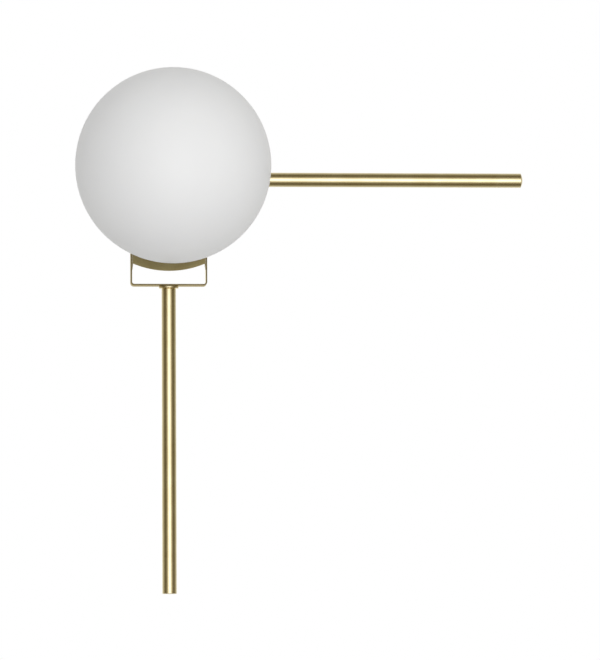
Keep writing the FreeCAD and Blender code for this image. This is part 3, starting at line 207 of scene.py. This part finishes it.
def metal(
    name, dull, bright, rubbed, rough,
    lay=(1.0, 1.0, 1.0), scratches=0.5, speckle=0.5, grazing=(1.0, 1.0, 1.0, 1.0),
):
    """A metal finish: two tones in slow clouds, rubbed edges, and the grain in its roughness and bump."""
    material, add, shader = new_material(name)
    clouds = effect(add, "clouds", Scale=45.0)["Mask"]
    grain = effect(add, "grain", Lay=lay, Scratches=scratches, Speckle=speckle)
    edges = effect(add, "edges")["Mask"]
    tone = colour_mix(add, clouds, dull, bright)
    flecked = colour_mix(add, spread(add, grain["Shade"], 0.0, FLECK_STRENGTH), tone, rubbed)
    colour = colour_mix(add, edges, flecked, rubbed)
    roughness = spread(add, grain["Shade"], rough[0], rough[1])
    finish_shader(add, shader, colour, roughness, grain["Height"], Metallic=1.0, Specular_Tint=grazing)
    return material


def dress(material, *names):
    """Gives a finish to parts of the frame."""
    for name in names:
        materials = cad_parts[name].data.materials
        materials.clear()
        materials.append(material)


zinc_plate = metal(
    "zinc_plate",
    dull=(0.50, 0.52, 0.54, 1), bright=(0.66, 0.67, 0.68, 1), rubbed=(0.80, 0.80, 0.80, 1),
    rough=(0.34, 0.48), scratches=0.3, speckle=0.6,
)
dress(zinc_plate, "wall_bracket", "earth_screw", "earth_tag")


# Canopy
# The spun brass cover over the bracket. It is finely brushed to a satin and lacquered, pale gold where
# it meets the light and olive brown where it does not, and two small dome-headed screws hold its sides.

SATIN_DULL = (0.82, 0.71, 0.42, 1)
SATIN_BRIGHT = (0.89, 0.79, 0.50, 1)
SATIN_RUBBED = (0.96, 0.90, 0.72, 1)
SATIN_ROUGH = (0.24, 0.34)


def satin_brass(name, lay):
    """The lacquered satin brass of every piece that shows, brushed along one axis."""
    return metal(name, SATIN_DULL, SATIN_BRIGHT, SATIN_RUBBED, SATIN_ROUGH, lay)


brass_face = satin_brass("satin_brass_face", lay=(1.0, 0.1, 1.0))
dress(brass_face, "canopy", "canopy_screws")


# Stem
# The hollow threaded nipple with its thin nuts, toothed washers and outer sleeve, which clamps the
# canopy to the bridge behind the globe. Nuts and nipple are bare turned brass, the washers are zinc
# plated, and the sleeve is satin like the canopy.

raw_brass = metal(
    "raw_brass",
    dull=(0.72, 0.52, 0.24, 1), bright=(0.82, 0.65, 0.34, 1), rubbed=(0.92, 0.80, 0.52, 1),
    rough=(0.22, 0.38), scratches=0.7, speckle=0.3,
)
dress(raw_brass, "stem_nipple", "stem_nut_rear", "stem_nut_front")
dress(zinc_plate, "stem_washer_rear", "stem_washer_front")
dress(brass_face, "stem_sleeve")


# Terminal block
# The white moulded block on the bracket's tongue where the house cable meets the lamp's cores.
# Its resin is matt with a fine spark-eroded grain, and the clamping screws are zinc plated.

def moulded(name, low, high, rough, grain_scale=2200.0, depth=GRAIN_DEPTH):
    """A moulded or extruded plastic: a slow drift in its tone, and a fine grain in roughness and bump."""
    material, add, shader = new_material(name)
    clouds = effect(add, "clouds", Scale=60.0)["Mask"]
    colour = colour_mix(add, clouds, low, high)
    place = add("TexCoord").outputs["Object"]
    grain = add("TexNoise", Vector=place, Scale=grain_scale, Detail=2.0).outputs[0]
    finish_shader(add, shader, colour, spread(add, grain, rough[0], rough[1]), grain, depth)
    return material


block_resin = moulded(
    "block_resin", low=(0.78, 0.78, 0.76, 1), high=(0.86, 0.86, 0.84, 1), rough=(0.42, 0.62)
)
dress(block_resin, "terminal_block")
dress(zinc_plate, "terminal_screws")


# Cores
# The live, neutral and earth cores between the block and the flexible cord. They are smooth extruded
# sleeves over copper: one brown, one blue and one green.

live_sleeve = moulded(
    "live_sleeve", low=(0.15, 0.07, 0.03, 1), high=(0.20, 0.10, 0.05, 1), rough=(0.30, 0.45)
)
neutral_sleeve = moulded(
    "neutral_sleeve", low=(0.03, 0.12, 0.40, 1), high=(0.05, 0.17, 0.50, 1), rough=(0.30, 0.45)
)
earth_sleeve = moulded(
    "earth_sleeve", low=(0.10, 0.36, 0.05, 1), high=(0.14, 0.44, 0.07, 1), rough=(0.30, 0.45)
)
dress(live_sleeve, "live_core")
dress(neutral_sleeve, "neutral_core")
dress(earth_sleeve, "earth_core")


# Yoke
# One thin brass strap bent to a square U, with round ends and rounded edges. It is satin brushed, its
# rim is painted dark brown and its outer face painted duller, both painted shade, and a sunk screw
# through its floor holds the drop rod.

STRAP_THICK = 0.0015
STRAP_BEND = 0.0022
EDGE_ROUND = 0.0006
EDGE_MARGIN = 0.00008
EDGE_STEPS = 5
ARM_STEPS = 12
BEND_STEPS = 14
FLOOR_STEPS = 8
END_STEPS = 28
INNER_FACE, RIM, OUTER_FACE = 0, 1, 2
HOLE_RADIUS = 0.00362
HOLE_DEPTH = 0.01
HOLE_ROUND = 64
SHARP_ANGLE = math.radians(35)

brass_upright = satin_brass("satin_brass_upright", lay=(1.0, 1.0, 0.06))
# The rim's brass is painted dark brown: painted shade for the dark that the rounded rim mirrors.
painted_shade_edge_brass = metal(
    "painted_shade_edge_brass",
    dull=(0.19, 0.15, 0.06, 1), bright=(0.25, 0.20, 0.09, 1), rubbed=(0.48, 0.40, 0.22, 1),
    rough=(0.34, 0.50), lay=(1.0, 0.08, 1.0), scratches=0.8, speckle=0.6,
)
# The outer face's brass is painted duller and mirrors less at grazing angles: painted shade for the
# strap's shaded outside and underside.
painted_shade_outside_brass = metal(
    "painted_shade_outside_brass",
    dull=(0.55, 0.47, 0.27, 1), bright=(0.63, 0.55, 0.33, 1), rubbed=SATIN_RUBBED,
    rough=(0.28, 0.40), lay=(1.0, 0.08, 1.0), grazing=(0.62, 0.55, 0.38, 1),
)


def new_piece(name, form, body, slot, replaced, *materials):
    """A smooth shaded, dressed piece from a bmesh. With no body named, it is attached to none."""
    mesh = bpy.data.meshes.new(name)
    bmesh.ops.recalc_face_normals(form, faces=form.faces)
    form.to_mesh(mesh)
    form.free()
    for face in mesh.polygons:
        face.use_smooth = True
    mesh.set_sharp_from_angle(angle=SHARP_ANGLE)
    for material in materials:
        mesh.materials.append(material)
    piece = bpy.data.objects.new(name, mesh)
    bpy.context.scene.collection.objects.link(piece)
    if body:
        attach(piece, body)
    if replaced:
        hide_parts(*replaced)
    return piece


def rounded_edge(half, radius, steps):
    """The edge of a strip, from its upper face to its lower one: each point's inset and height."""
    turns = [math.pi / 2 * step / steps for step in range(steps + 1)]
    upper = [(radius * (1 - math.sin(turn)), half - radius + radius * math.cos(turn)) for turn in turns]
    return upper + [(inset, -height) for inset, height in reversed(upper)]


yoke_low, yoke_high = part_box("yoke")
half_width = (yoke_high[1] - yoke_low[1]) / 2
pivot_y = (yoke_high[1] + yoke_low[1]) / 2
bend_middle = STRAP_BEND + STRAP_THICK / 2
bend_centre = Vector((yoke_high[0] - STRAP_BEND - STRAP_THICK, yoke_low[2] + STRAP_BEND + STRAP_THICK))
bend_run = bend_middle * math.pi / 2
pivot_run = bend_centre.x + bend_run - bend_centre.y


def on_strap(run, across, height):
    """A point of the bent strap, from its place on the flat strip and its height off the middle."""
    side = math.copysign(1.0, run)
    past = abs(run) - bend_centre.x
    turn = min(max(past / bend_middle, 0.0), math.pi / 2)
    reach = bend_middle + height
    x = min(abs(run), bend_centre.x) + reach * math.sin(turn)
    z = bend_centre.y - reach * math.cos(turn) + max(past - bend_run, 0.0)
    return side * x, pivot_y + across, z


def strap_outline():
    """The flat strip's outline: each point's run and place across, the way out, and its spine's run."""
    runs = [
        -pivot_run + (pivot_run - bend_centre.x - bend_run) * step / ARM_STEPS
        for step in range(ARM_STEPS + 1)
    ]
    runs += [-bend_centre.x - bend_run * (1 - step / BEND_STEPS) for step in range(1, BEND_STEPS + 1)]
    runs += [-bend_centre.x * (1 - step / FLOOR_STEPS) for step in range(1, FLOOR_STEPS + 1)]
    runs += [-run for run in reversed(runs[:-1])]
    outline = [(run, half_width, 0.0, 1.0, run) for run in runs]
    for end, first in ((1, math.pi / 2), (-1, -math.pi / 2)):
        spine_run = end * pivot_run
        for step in range(1, END_STEPS):
            turn = first - math.pi * step / END_STEPS
            out, across = math.cos(turn), math.sin(turn)
            outline.append((spine_run + half_width * out, half_width * across, out, across, spine_run))
        if end == 1:
            outline += [(run, -half_width, 0.0, -1.0, run) for run in reversed(runs)]
    return outline


form = bmesh.new()
outline = strap_outline()
spine_runs = [point[-1] for point in outline]
# A narrow margin of each flat face belongs to the rim's rings, which keeps the shading flat beside it.
edge = rounded_edge(STRAP_THICK / 2, EDGE_ROUND, EDGE_STEPS)
support = (edge[0][0] + EDGE_MARGIN, edge[0][1])
profile = [support] + edge + [(support[0], -support[1])]
rings = []
for inset, height in profile:
    rings.append([
        form.verts.new(on_strap(run - out_run * inset, across - out_across * inset, height))
        for run, across, out_run, out_across, spine_run in outline
    ])
for height, ring, finish in (
    (STRAP_THICK / 2, rings[0], OUTER_FACE), (-STRAP_THICK / 2, rings[-1], INNER_FACE)
):
    spine = {run: form.verts.new(on_strap(run, 0.0, height)) for run in dict.fromkeys(spine_runs)}
    for index in range(len(outline)):
        after = (index + 1) % len(outline)
        corners = [ring[index], ring[after], spine[spine_runs[after]], spine[spine_runs[index]]]
        face = form.faces.new(list(dict.fromkeys(corners)))
        face.material_index = finish
for level, (upper, lower) in enumerate(zip(rings, rings[1:])):
    finish = {0: OUTER_FACE, len(profile) - 2: INNER_FACE}.get(level, RIM)
    for index in range(len(outline)):
        after = (index + 1) % len(outline)
        face = form.faces.new((upper[index], upper[after], lower[after], lower[index]))
        face.material_index = finish
strap = new_piece(
    "yoke_strap", form, "wall_side", "satin_brass", ["yoke"], brass_upright, painted_shade_edge_brass, painted_shade_outside_brass
)

# The hole for the sunk screw is cut through the middle of the strap's floor.
drill_form = bmesh.new()
bmesh.ops.create_cone(
    drill_form, segments=HOLE_ROUND, radius1=HOLE_RADIUS, radius2=HOLE_RADIUS, depth=HOLE_DEPTH,
    cap_ends=True, matrix=Matrix.Translation((0.0, pivot_y, yoke_low[2])),
)
drill_mesh = bpy.data.meshes.new("drill")
drill_form.to_mesh(drill_mesh)
drill_form.free()
drill = bpy.data.objects.new("drill", drill_mesh)
bpy.context.scene.collection.objects.link(drill)
sink = strap.modifiers.new("screw hole", "BOOLEAN")
sink.object = drill
sink.operation = "DIFFERENCE"
sink.solver = "EXACT"
drilled = bpy.data.meshes.new_from_object(strap.evaluated_get(bpy.context.evaluated_depsgraph_get()))
drilled.name = "yoke_strap"
strap.modifiers.clear()
strap.data = drilled
drilled.set_sharp_from_angle(angle=SHARP_ANGLE)
bpy.data.objects.remove(drill)


# Bridge and pivots
# The bridge behind the globe ties the yoke's arms to the stem, with a rivet in each arm. Each pivot has a
# washer of pressed brown fibre for friction, a flat zinc washer and a locking nut.

dress(brass_upright, "rear_bridge", "bridge_rivets", "left_pivot_screw")
dress(zinc_plate, "pivot_washers", "pivot_nuts")
pressed_fibre = moulded(
    "pressed_fibre", low=(0.16, 0.11, 0.08, 1), high=(0.26, 0.19, 0.13, 1), rough=(0.75, 0.95),
    grain_scale=900.0, depth=0.00003,
)
dress(pressed_fibre, "friction_washers")


# Rods
# The side arm and the drop rod are drawn brass tubes, satin brushed along their length and lacquered,
# with a turned collar where each meets the yoke and a turned cap at the far end.

brass_level = satin_brass("satin_brass_level", lay=(0.06, 1.0, 1.0))
dress(brass_level, "side_arm_collar", "side_arm", "side_arm_end_cap")
dress(brass_upright, "drop_rod_collar", "drop_rod", "drop_rod_end_cap")
dress(raw_brass, "side_arm_stud", "drop_rod_plug")
dress(zinc_plate, "drop_rod_screw")


# Carrier plate
# The plate behind the globe is round with two straight sides, cut from brass sheet. Its brass is painted
# dark, painted shade for the shaded back of the globe that it mirrors.
# Narrow lips are folded back along its straight sides, above and below the pivots, and taper at their
# far ends.

LIP_FOOT = 0.0955
LIP_SHOULDER = 0.0885
LIP_HEAD = 0.034
LIP_OUT = 0.0382
LIP_TIP = 0.0380
LIP_IN = 0.0372
LIP_FRONT = 0.0001
LIP_REAR = 0.004
LIP_ROUND = 0.00015
LIP_ROUND_STEPS = 2
LIP_SIDE, LIP_FACE = 0, 1

# The plate's brass is painted dark: painted shade for the globe's shaded back mirrored in it.
painted_shade_plate_brass = metal(
    "painted_shade_plate_brass",
    dull=(0.315, 0.25, 0.10, 1), bright=(0.37, 0.305, 0.135, 1), rubbed=(0.54, 0.46, 0.26, 1),
    rough=(0.18, 0.27), lay=(1.0, 0.1, 1.0), scratches=0.3, speckle=0.15,
)
dress(painted_shade_plate_brass, "carrier_plate")

plate_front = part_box("carrier_plate")[0][1]
lip_outline = [
    (LIP_OUT, LIP_FOOT), (LIP_TIP, LIP_FOOT), (LIP_IN, LIP_SHOULDER),
    (LIP_IN, LIP_HEAD), (LIP_OUT, LIP_HEAD),
]
form = bmesh.new()
for side in (-1, 1):
    for end in (-1, 1):
        front = [form.verts.new((side * x, plate_front + LIP_FRONT, end * z)) for x, z in lip_outline]
        rear = [form.verts.new((side * x, plate_front + LIP_REAR, end * z)) for x, z in lip_outline]
        form.faces.new(front).material_index = LIP_FACE
        form.faces.new(rear).material_index = LIP_SIDE
        for index in range(len(lip_outline)):
            after = (index + 1) % len(lip_outline)
            form.faces.new((front[index], front[after], rear[after], rear[index]))
# The lips' front faces take the rim's dark brass, painted shade, so each shows as a thin dark line
# tapering beside an arm.
lips = new_piece("carrier_lips", form, "globe_carrier", "satin_brass", [], painted_shade_plate_brass, painted_shade_edge_brass)
softened = lips.modifiers.new("rounded", "BEVEL")
softened.width = LIP_ROUND
softened.segments = LIP_ROUND_STEPS


# Gallery
# The spun satin brass cup in front of the carrier plate, which takes the globe's neck, with the screws
# and nuts that hold it to the plate. A soft ring of silicone in it seats the glass.

soft_silicone = moulded(
    "soft_silicone", low=(0.70, 0.70, 0.68, 1), high=(0.80, 0.80, 0.78, 1), rough=(0.45, 0.60)
)
dress(brass_face, "gallery")
dress(raw_brass, "gallery_screws", "gallery_nuts")
dress(soft_silicone, "seat_ring")


# Thumbscrews
# Three turned brass screws go through the gallery's rim and hold the globe by its lip. Each has a button
# head with crossed ridges rolled into its side and a dished top, and a real thread.

SCREW_ANGLES = {"top": 0.0, "lower_left": -145.0, "lower_right": 145.0}
HEAD_LENGTH = 0.007
HEAD_BEVEL = 0.0005
KNURL_ROWS = 22
KNURL_COUNT = 30
KNURL_FINE = 6
KNURL_DEPTH = 0.00028
KNURL_SLOPE = 2.2
KNURL_SHARPNESS = 1.6
KNURL_MARGIN = 0.0001
DISH_RIM = 0.45
DISH_FLOOR = 0.35
DISH_DEPTH = 0.0004
THREAD_RADIUS = 0.002
THREAD_PITCH = 0.0007
THREAD_DEPTH = 0.00035
THREAD_ROUND = 20
THREAD_RINGS = 4

screw_low, screw_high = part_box("thumbscrew_top")
screw_tip = screw_low[2]
screw_y = (screw_high[1] + screw_low[1]) / 2
head_radius = (screw_high[0] - screw_low[0]) / 2
head_foot = screw_high[2] - HEAD_LENGTH


def join_rings(form, rings):
    """Skins a row of rings with faces and closes both its ends."""
    for near, far in zip(rings, rings[1:]):
        for step in range(len(near)):
            after = (step + 1) % len(near)
            form.faces.new((near[step], near[after], far[after], far[step]))
    form.faces.new(rings[0])
    form.faces.new(rings[-1])


def ridge(phase):
    """A triangular wave: 1 where the phase is a whole number, and 0 halfway between."""
    return abs(phase % 1.0 - 0.5) * 2


def screw_point(form, turned, reach, turn, height):
    """A point of a thumbscrew, from its reach off the screw's axis, its turn and its height."""
    upright = Vector((reach * math.cos(turn), screw_y + reach * math.sin(turn), height))
    return form.verts.new(turned @ upright)


def knurled_head(form, turned):
    """The head of a thumbscrew, from its foot up, with the ridges' depth on each ring."""
    grip = HEAD_LENGTH - 2 * HEAD_BEVEL
    levels = [(0.0, head_radius - HEAD_BEVEL, 0.0), (HEAD_BEVEL, head_radius - KNURL_MARGIN, 0.0)]
    for row in range(KNURL_ROWS + 1):
        levels.append((HEAD_BEVEL + grip * row / KNURL_ROWS, head_radius, KNURL_DEPTH))
    levels += [
        (HEAD_LENGTH - HEAD_BEVEL, head_radius - KNURL_MARGIN, 0.0),
        (HEAD_LENGTH, head_radius - HEAD_BEVEL, 0.0),
        (HEAD_LENGTH, head_radius * DISH_RIM, 0.0),
        (HEAD_LENGTH - DISH_DEPTH, head_radius * DISH_FLOOR, 0.0),
    ]
    around = KNURL_COUNT * KNURL_FINE
    rings = []
    for height, radius, depth in levels:
        climb = KNURL_SLOPE * height / head_radius * KNURL_COUNT / (2 * math.pi)
        ring = []
        for step in range(around):
            rising = ridge(step / KNURL_FINE + climb)
            falling = ridge(step / KNURL_FINE - climb)
            reach = radius - depth * (1 - min(1.0, KNURL_SHARPNESS * min(rising, falling)))
            ring.append(screw_point(form, turned, reach, 2 * math.pi * step / around, head_foot + height))
        rings.append(ring)
    join_rings(form, rings)


def threaded_shank(form, turned):
    """The shank of a thumbscrew, from its tip to its head, with a helical thread cut into it."""
    length = head_foot - screw_tip
    count = round(length / THREAD_PITCH * THREAD_RINGS)
    rings = []
    for level in range(count + 1):
        height = screw_tip + length * level / count
        ring = []
        for step in range(THREAD_ROUND):
            phase = (height - screw_tip) / THREAD_PITCH - step / THREAD_ROUND
            reach = THREAD_RADIUS - THREAD_DEPTH * (1 - ridge(phase))
            ring.append(screw_point(form, turned, reach, 2 * math.pi * step / THREAD_ROUND, height))
        rings.append(ring)
    join_rings(form, rings)


for place_name, angle in SCREW_ANGLES.items():
    form = bmesh.new()
    turned = Matrix.Rotation(math.radians(angle), 4, "Y")
    knurled_head(form, turned)
    threaded_shank(form, turned)
    body = "thumbscrew_" + place_name
    new_piece("knurled_screw_" + place_name, form, body, "satin_brass", [body], brass_face)


# Flexible cord
# The white sheathed cord that runs from the cores through the stem to the lampholder. Its middle
# stretch crosses the tilt axis between the wall's side and the globe carrier, and is drawn as a straight
# tube on no body.

FLEX_ROUND = 32
FLEX_STEPS = 24

cord_sheath = moulded(
    "cord_sheath", low=(0.76, 0.76, 0.74, 1), high=(0.84, 0.84, 0.82, 1), rough=(0.35, 0.50)
)
dress(cord_sheath, "flex_rear", "flex_middle", "flex_front")

flex_low, flex_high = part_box("flex_middle")
flex_radius = (flex_high[0] - flex_low[0]) / 2
form = bmesh.new()
turns = [2 * math.pi * part / FLEX_ROUND for part in range(FLEX_ROUND)]
rings = []
for step in range(FLEX_STEPS + 1):
    place_y = flex_high[1] + (flex_low[1] - flex_high[1]) * step / FLEX_STEPS
    rings.append([
        form.verts.new((flex_radius * math.cos(turn), place_y, flex_radius * math.sin(turn)))
        for turn in turns
    ])
join_rings(form, rings)
bending = new_piece("flex_bending", form, "", "flex_sheath", ["flex_middle"], cord_sheath)
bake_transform(bending)


# Lampholder
# The moulded screw lampholder, held in the carrier by a hollow brass nipple with its nut and washer.
# Its shell and centre contact are brass. None of it shows while the globe is on.

holder_resin = moulded(
    "holder_resin", low=(0.80, 0.79, 0.75, 1), high=(0.88, 0.87, 0.83, 1), rough=(0.40, 0.60)
)
dress(holder_resin, "lampholder")
dress(raw_brass, "screw_shell", "centre_contact", "lampholder_nipple", "lampholder_nut")
dress(zinc_plate, "lampholder_washer")


# Bulb
# The bulb has a rolled metal cap with its end contact, a white moulded body and a frosted dome. The
# globe comes off to change it.

rolled_metal = metal(
    "rolled_metal",
    dull=(0.66, 0.66, 0.67, 1), bright=(0.78, 0.78, 0.78, 1), rubbed=(0.88, 0.88, 0.88, 1),
    rough=(0.22, 0.34), scratches=0.4, speckle=0.3,
)
bulb_white = moulded(
    "bulb_white", low=(0.84, 0.84, 0.83, 1), high=(0.90, 0.90, 0.89, 1), rough=(0.25, 0.35)
)
bulb_frost = moulded(
    "bulb_frost", low=(0.88, 0.88, 0.87, 1), high=(0.93, 0.93, 0.92, 1), rough=(0.45, 0.60)
)
dress(rolled_metal, "bulb_cap", "bulb_contact")
dress(bulb_white, "bulb_body")
dress(bulb_frost, "bulb_dome")


# Globe
# The blown opal glass globe, white through its whole wall and acid-etched to a satin, so it takes soft
# light with no sharp highlight. Its neck and rolled lip are gripped by the thumbscrews.

ETCH_SCALE = 1800.0
ETCH_DEPTH = 0.000006

opal, add, shader = new_material("opal_glass")
milk = effect(add, "clouds", Scale=9.0, Low=0.25, High=0.75)["Mask"]
colour = colour_mix(add, milk, (0.80, 0.80, 0.80, 1), (0.83, 0.83, 0.825, 1))
place = add("TexCoord").outputs["Object"]
etch = add("TexNoise", Vector=place, Scale=ETCH_SCALE, Detail=3.0).outputs[0]
finish_shader(
    add, shader, colour, spread(add, etch, 0.42, 0.54), etch, ETCH_DEPTH,
    Subsurface_Weight=0.25, Subsurface_Scale=0.006, Subsurface_Radius=(1.0, 0.95, 0.9), IOR=1.5,
)
dress(opal, "globe")


# Floor
# A plain pale floor well below the lamp. It glows a little, so that it is as pale as the background,
# and the lamp neither mirrors it nor takes light from it.

FLOOR_Z = -0.64
FLOOR_HALF = 20.0
FLOOR_GLOW = 0.32

mesh = bpy.data.meshes.new("floor")
form = bmesh.new()
bmesh.ops.create_grid(form, x_segments=8, y_segments=8, size=FLOOR_HALF)
form.to_mesh(mesh)
form.free()
floor = bpy.data.objects.new("floor", mesh)
bpy.context.scene.collection.objects.link(floor)
floor.location.z = FLOOR_Z
floor.visible_glossy = False
floor.visible_diffuse = False
floor.visible_shadow = False
paint, add, shader = new_material("floor_paint")
patches = effect(add, "clouds", Scale=40.0)["Mask"]
scuffs = effect(add, "clouds", Scale=300.0)["Mask"]
tone = colour_mix(add, patches, (0.85, 0.85, 0.85, 1), (0.86, 0.86, 0.86, 1))
finish_shader(
    add, shader, tone, spread(add, scuffs, 0.7, 0.75),
    Emission_Color=(1, 1, 1, 1), Emission_Strength=FLOOR_GLOW,
)
mesh.materials.append(paint)


# Light
# Soft studio light from all round. What the metal mirrors is bright behind the camera and dark at the
# sides, what falls on matt surfaces and the glass changes more slowly, and the background is white.

KEY_AZIMUTH = math.radians(2.0)
KEY_ELEVATION = math.radians(-6.0)
SHINE_STRENGTH = 3.0
SHINE = (
    (0.0, (2.3, 2.3, 2.4)), (0.06, (2.05, 2.04, 2.1)), (0.13, (0.95, 0.91, 0.80)),
    (0.22, (0.27, 0.22, 0.11)), (0.32, (0.08, 0.052, 0.009)), (0.45, (0.08, 0.058, 0.012)),
    (0.52, (0.23, 0.20, 0.12)), (0.58, (0.38, 0.35, 0.25)), (0.72, (0.62, 0.60, 0.55)),
    (0.86, (0.95, 0.95, 0.92)), (1.0, (1.3, 1.3, 1.3)),
)
FILL_AZIMUTH = math.radians(8.0)
FILL_ELEVATION = math.radians(-2.5)
FILL_STRENGTH = 1.5
FILL = (
    (0.0, (1.42, 1.42, 1.42)), (0.2, (1.20, 1.20, 1.20)), (0.35, (0.84, 0.84, 0.84)),
    (0.5, (0.53, 0.53, 0.53)), (0.7, (0.34, 0.34, 0.34)), (0.85, (0.45, 0.45, 0.45)),
    (1.0, (0.80, 0.80, 0.80)),
)

world = bpy.data.worlds.new("studio")
world.use_nodes = True
tree = world.node_tree
tree.nodes.clear()
add = node_adder(tree)
direction = add("TexCoord").outputs["Generated"]


def towards_camera(azimuth, elevation):
    """The direction from the lamp back to a viewer at an azimuth and elevation."""
    level = math.cos(elevation)
    return Vector((math.sin(azimuth) * level, -math.cos(azimuth) * level, math.sin(elevation)))


def sky(azimuth, elevation, strength, stops):
    """Light from all round that changes with the angle from one direction, as turns of half a circle."""
    axis = tuple(towards_camera(azimuth, elevation))
    facing = add("VectorMath", {"operation": "DOT_PRODUCT"}, _0=direction, _1=axis).outputs["Value"]
    angle = add("Math", {"operation": "ARCCOSINE"}, _0=facing).outputs[0]
    turn = add("Math", {"operation": "DIVIDE"}, _0=angle, _1=math.pi).outputs[0]
    ramp = add("ValToRGB", Fac=turn)
    marks = ramp.color_ramp.elements
    for place, light in stops[1:-1]:
        marks.new(place)
    for mark, (place, light) in zip(marks, stops):
        mark.position = place
        mark.color = (*(value / strength for value in light), 1)
    return add("Background", Color=ramp.outputs[0], Strength=strength).outputs[0]


seen = add("LightPath").outputs["Is Camera Ray"]
gloss = add("LightPath").outputs["Is Glossy Ray"]
shine = sky(KEY_AZIMUTH, KEY_ELEVATION, SHINE_STRENGTH, SHINE)
fill = sky(FILL_AZIMUTH, FILL_ELEVATION, FILL_STRENGTH, FILL)
lit = add("MixShader", _0=gloss, _1=fill, _2=shine)
white = add("Background", Color=(1, 1, 1, 1), Strength=1.0)
shown = add("MixShader", _0=seen, _1=lit.outputs[0], _2=white.outputs[0])
add("OutputWorld", Surface=shown.outputs[0])
bpy.context.scene.world = world
bpy.context.scene.view_settings.view_transform = "Standard"


# Camera
# A long lens below the lamp and a little to its left, tilted up by five degrees. Its place, turn and
# roll were worked out from the globe's outline and the rods' lines in the photograph.

CAMERA_PLACE = (-0.19904, -4.72012, -0.58147)
CAMERA_AZIMUTH = math.radians(-4.1160)
CAMERA_ELEVATION = math.radians(-5.1669)
CAMERA_ROLL = math.radians(-0.3067)
CAMERA_LENS = 245.45
CAMERA_REACH = 100.0
SENSOR_SIZE = 36.0

lens = bpy.data.cameras.new("camera")
lens.lens = CAMERA_LENS
lens.sensor_fit = "VERTICAL"
lens.sensor_height = SENSOR_SIZE
lens.sensor_width = SENSOR_SIZE
lens.clip_end = CAMERA_REACH
camera = bpy.data.objects.new("camera", lens)
bpy.context.scene.collection.objects.link(camera)
back = towards_camera(CAMERA_AZIMUTH, CAMERA_ELEVATION)
right = (-back).cross(Vector((0, 0, 1))).normalized()
up = right.cross(-back)
rolled_right = right * math.cos(CAMERA_ROLL) + up * math.sin(CAMERA_ROLL)
rolled_up = up * math.cos(CAMERA_ROLL) - right * math.sin(CAMERA_ROLL)
for row, values in enumerate(zip(rolled_right, rolled_up, back, CAMERA_PLACE)):
    for column, value in enumerate(values):
        camera.matrix_world[row][column] = value
bpy.context.scene.camera = camera
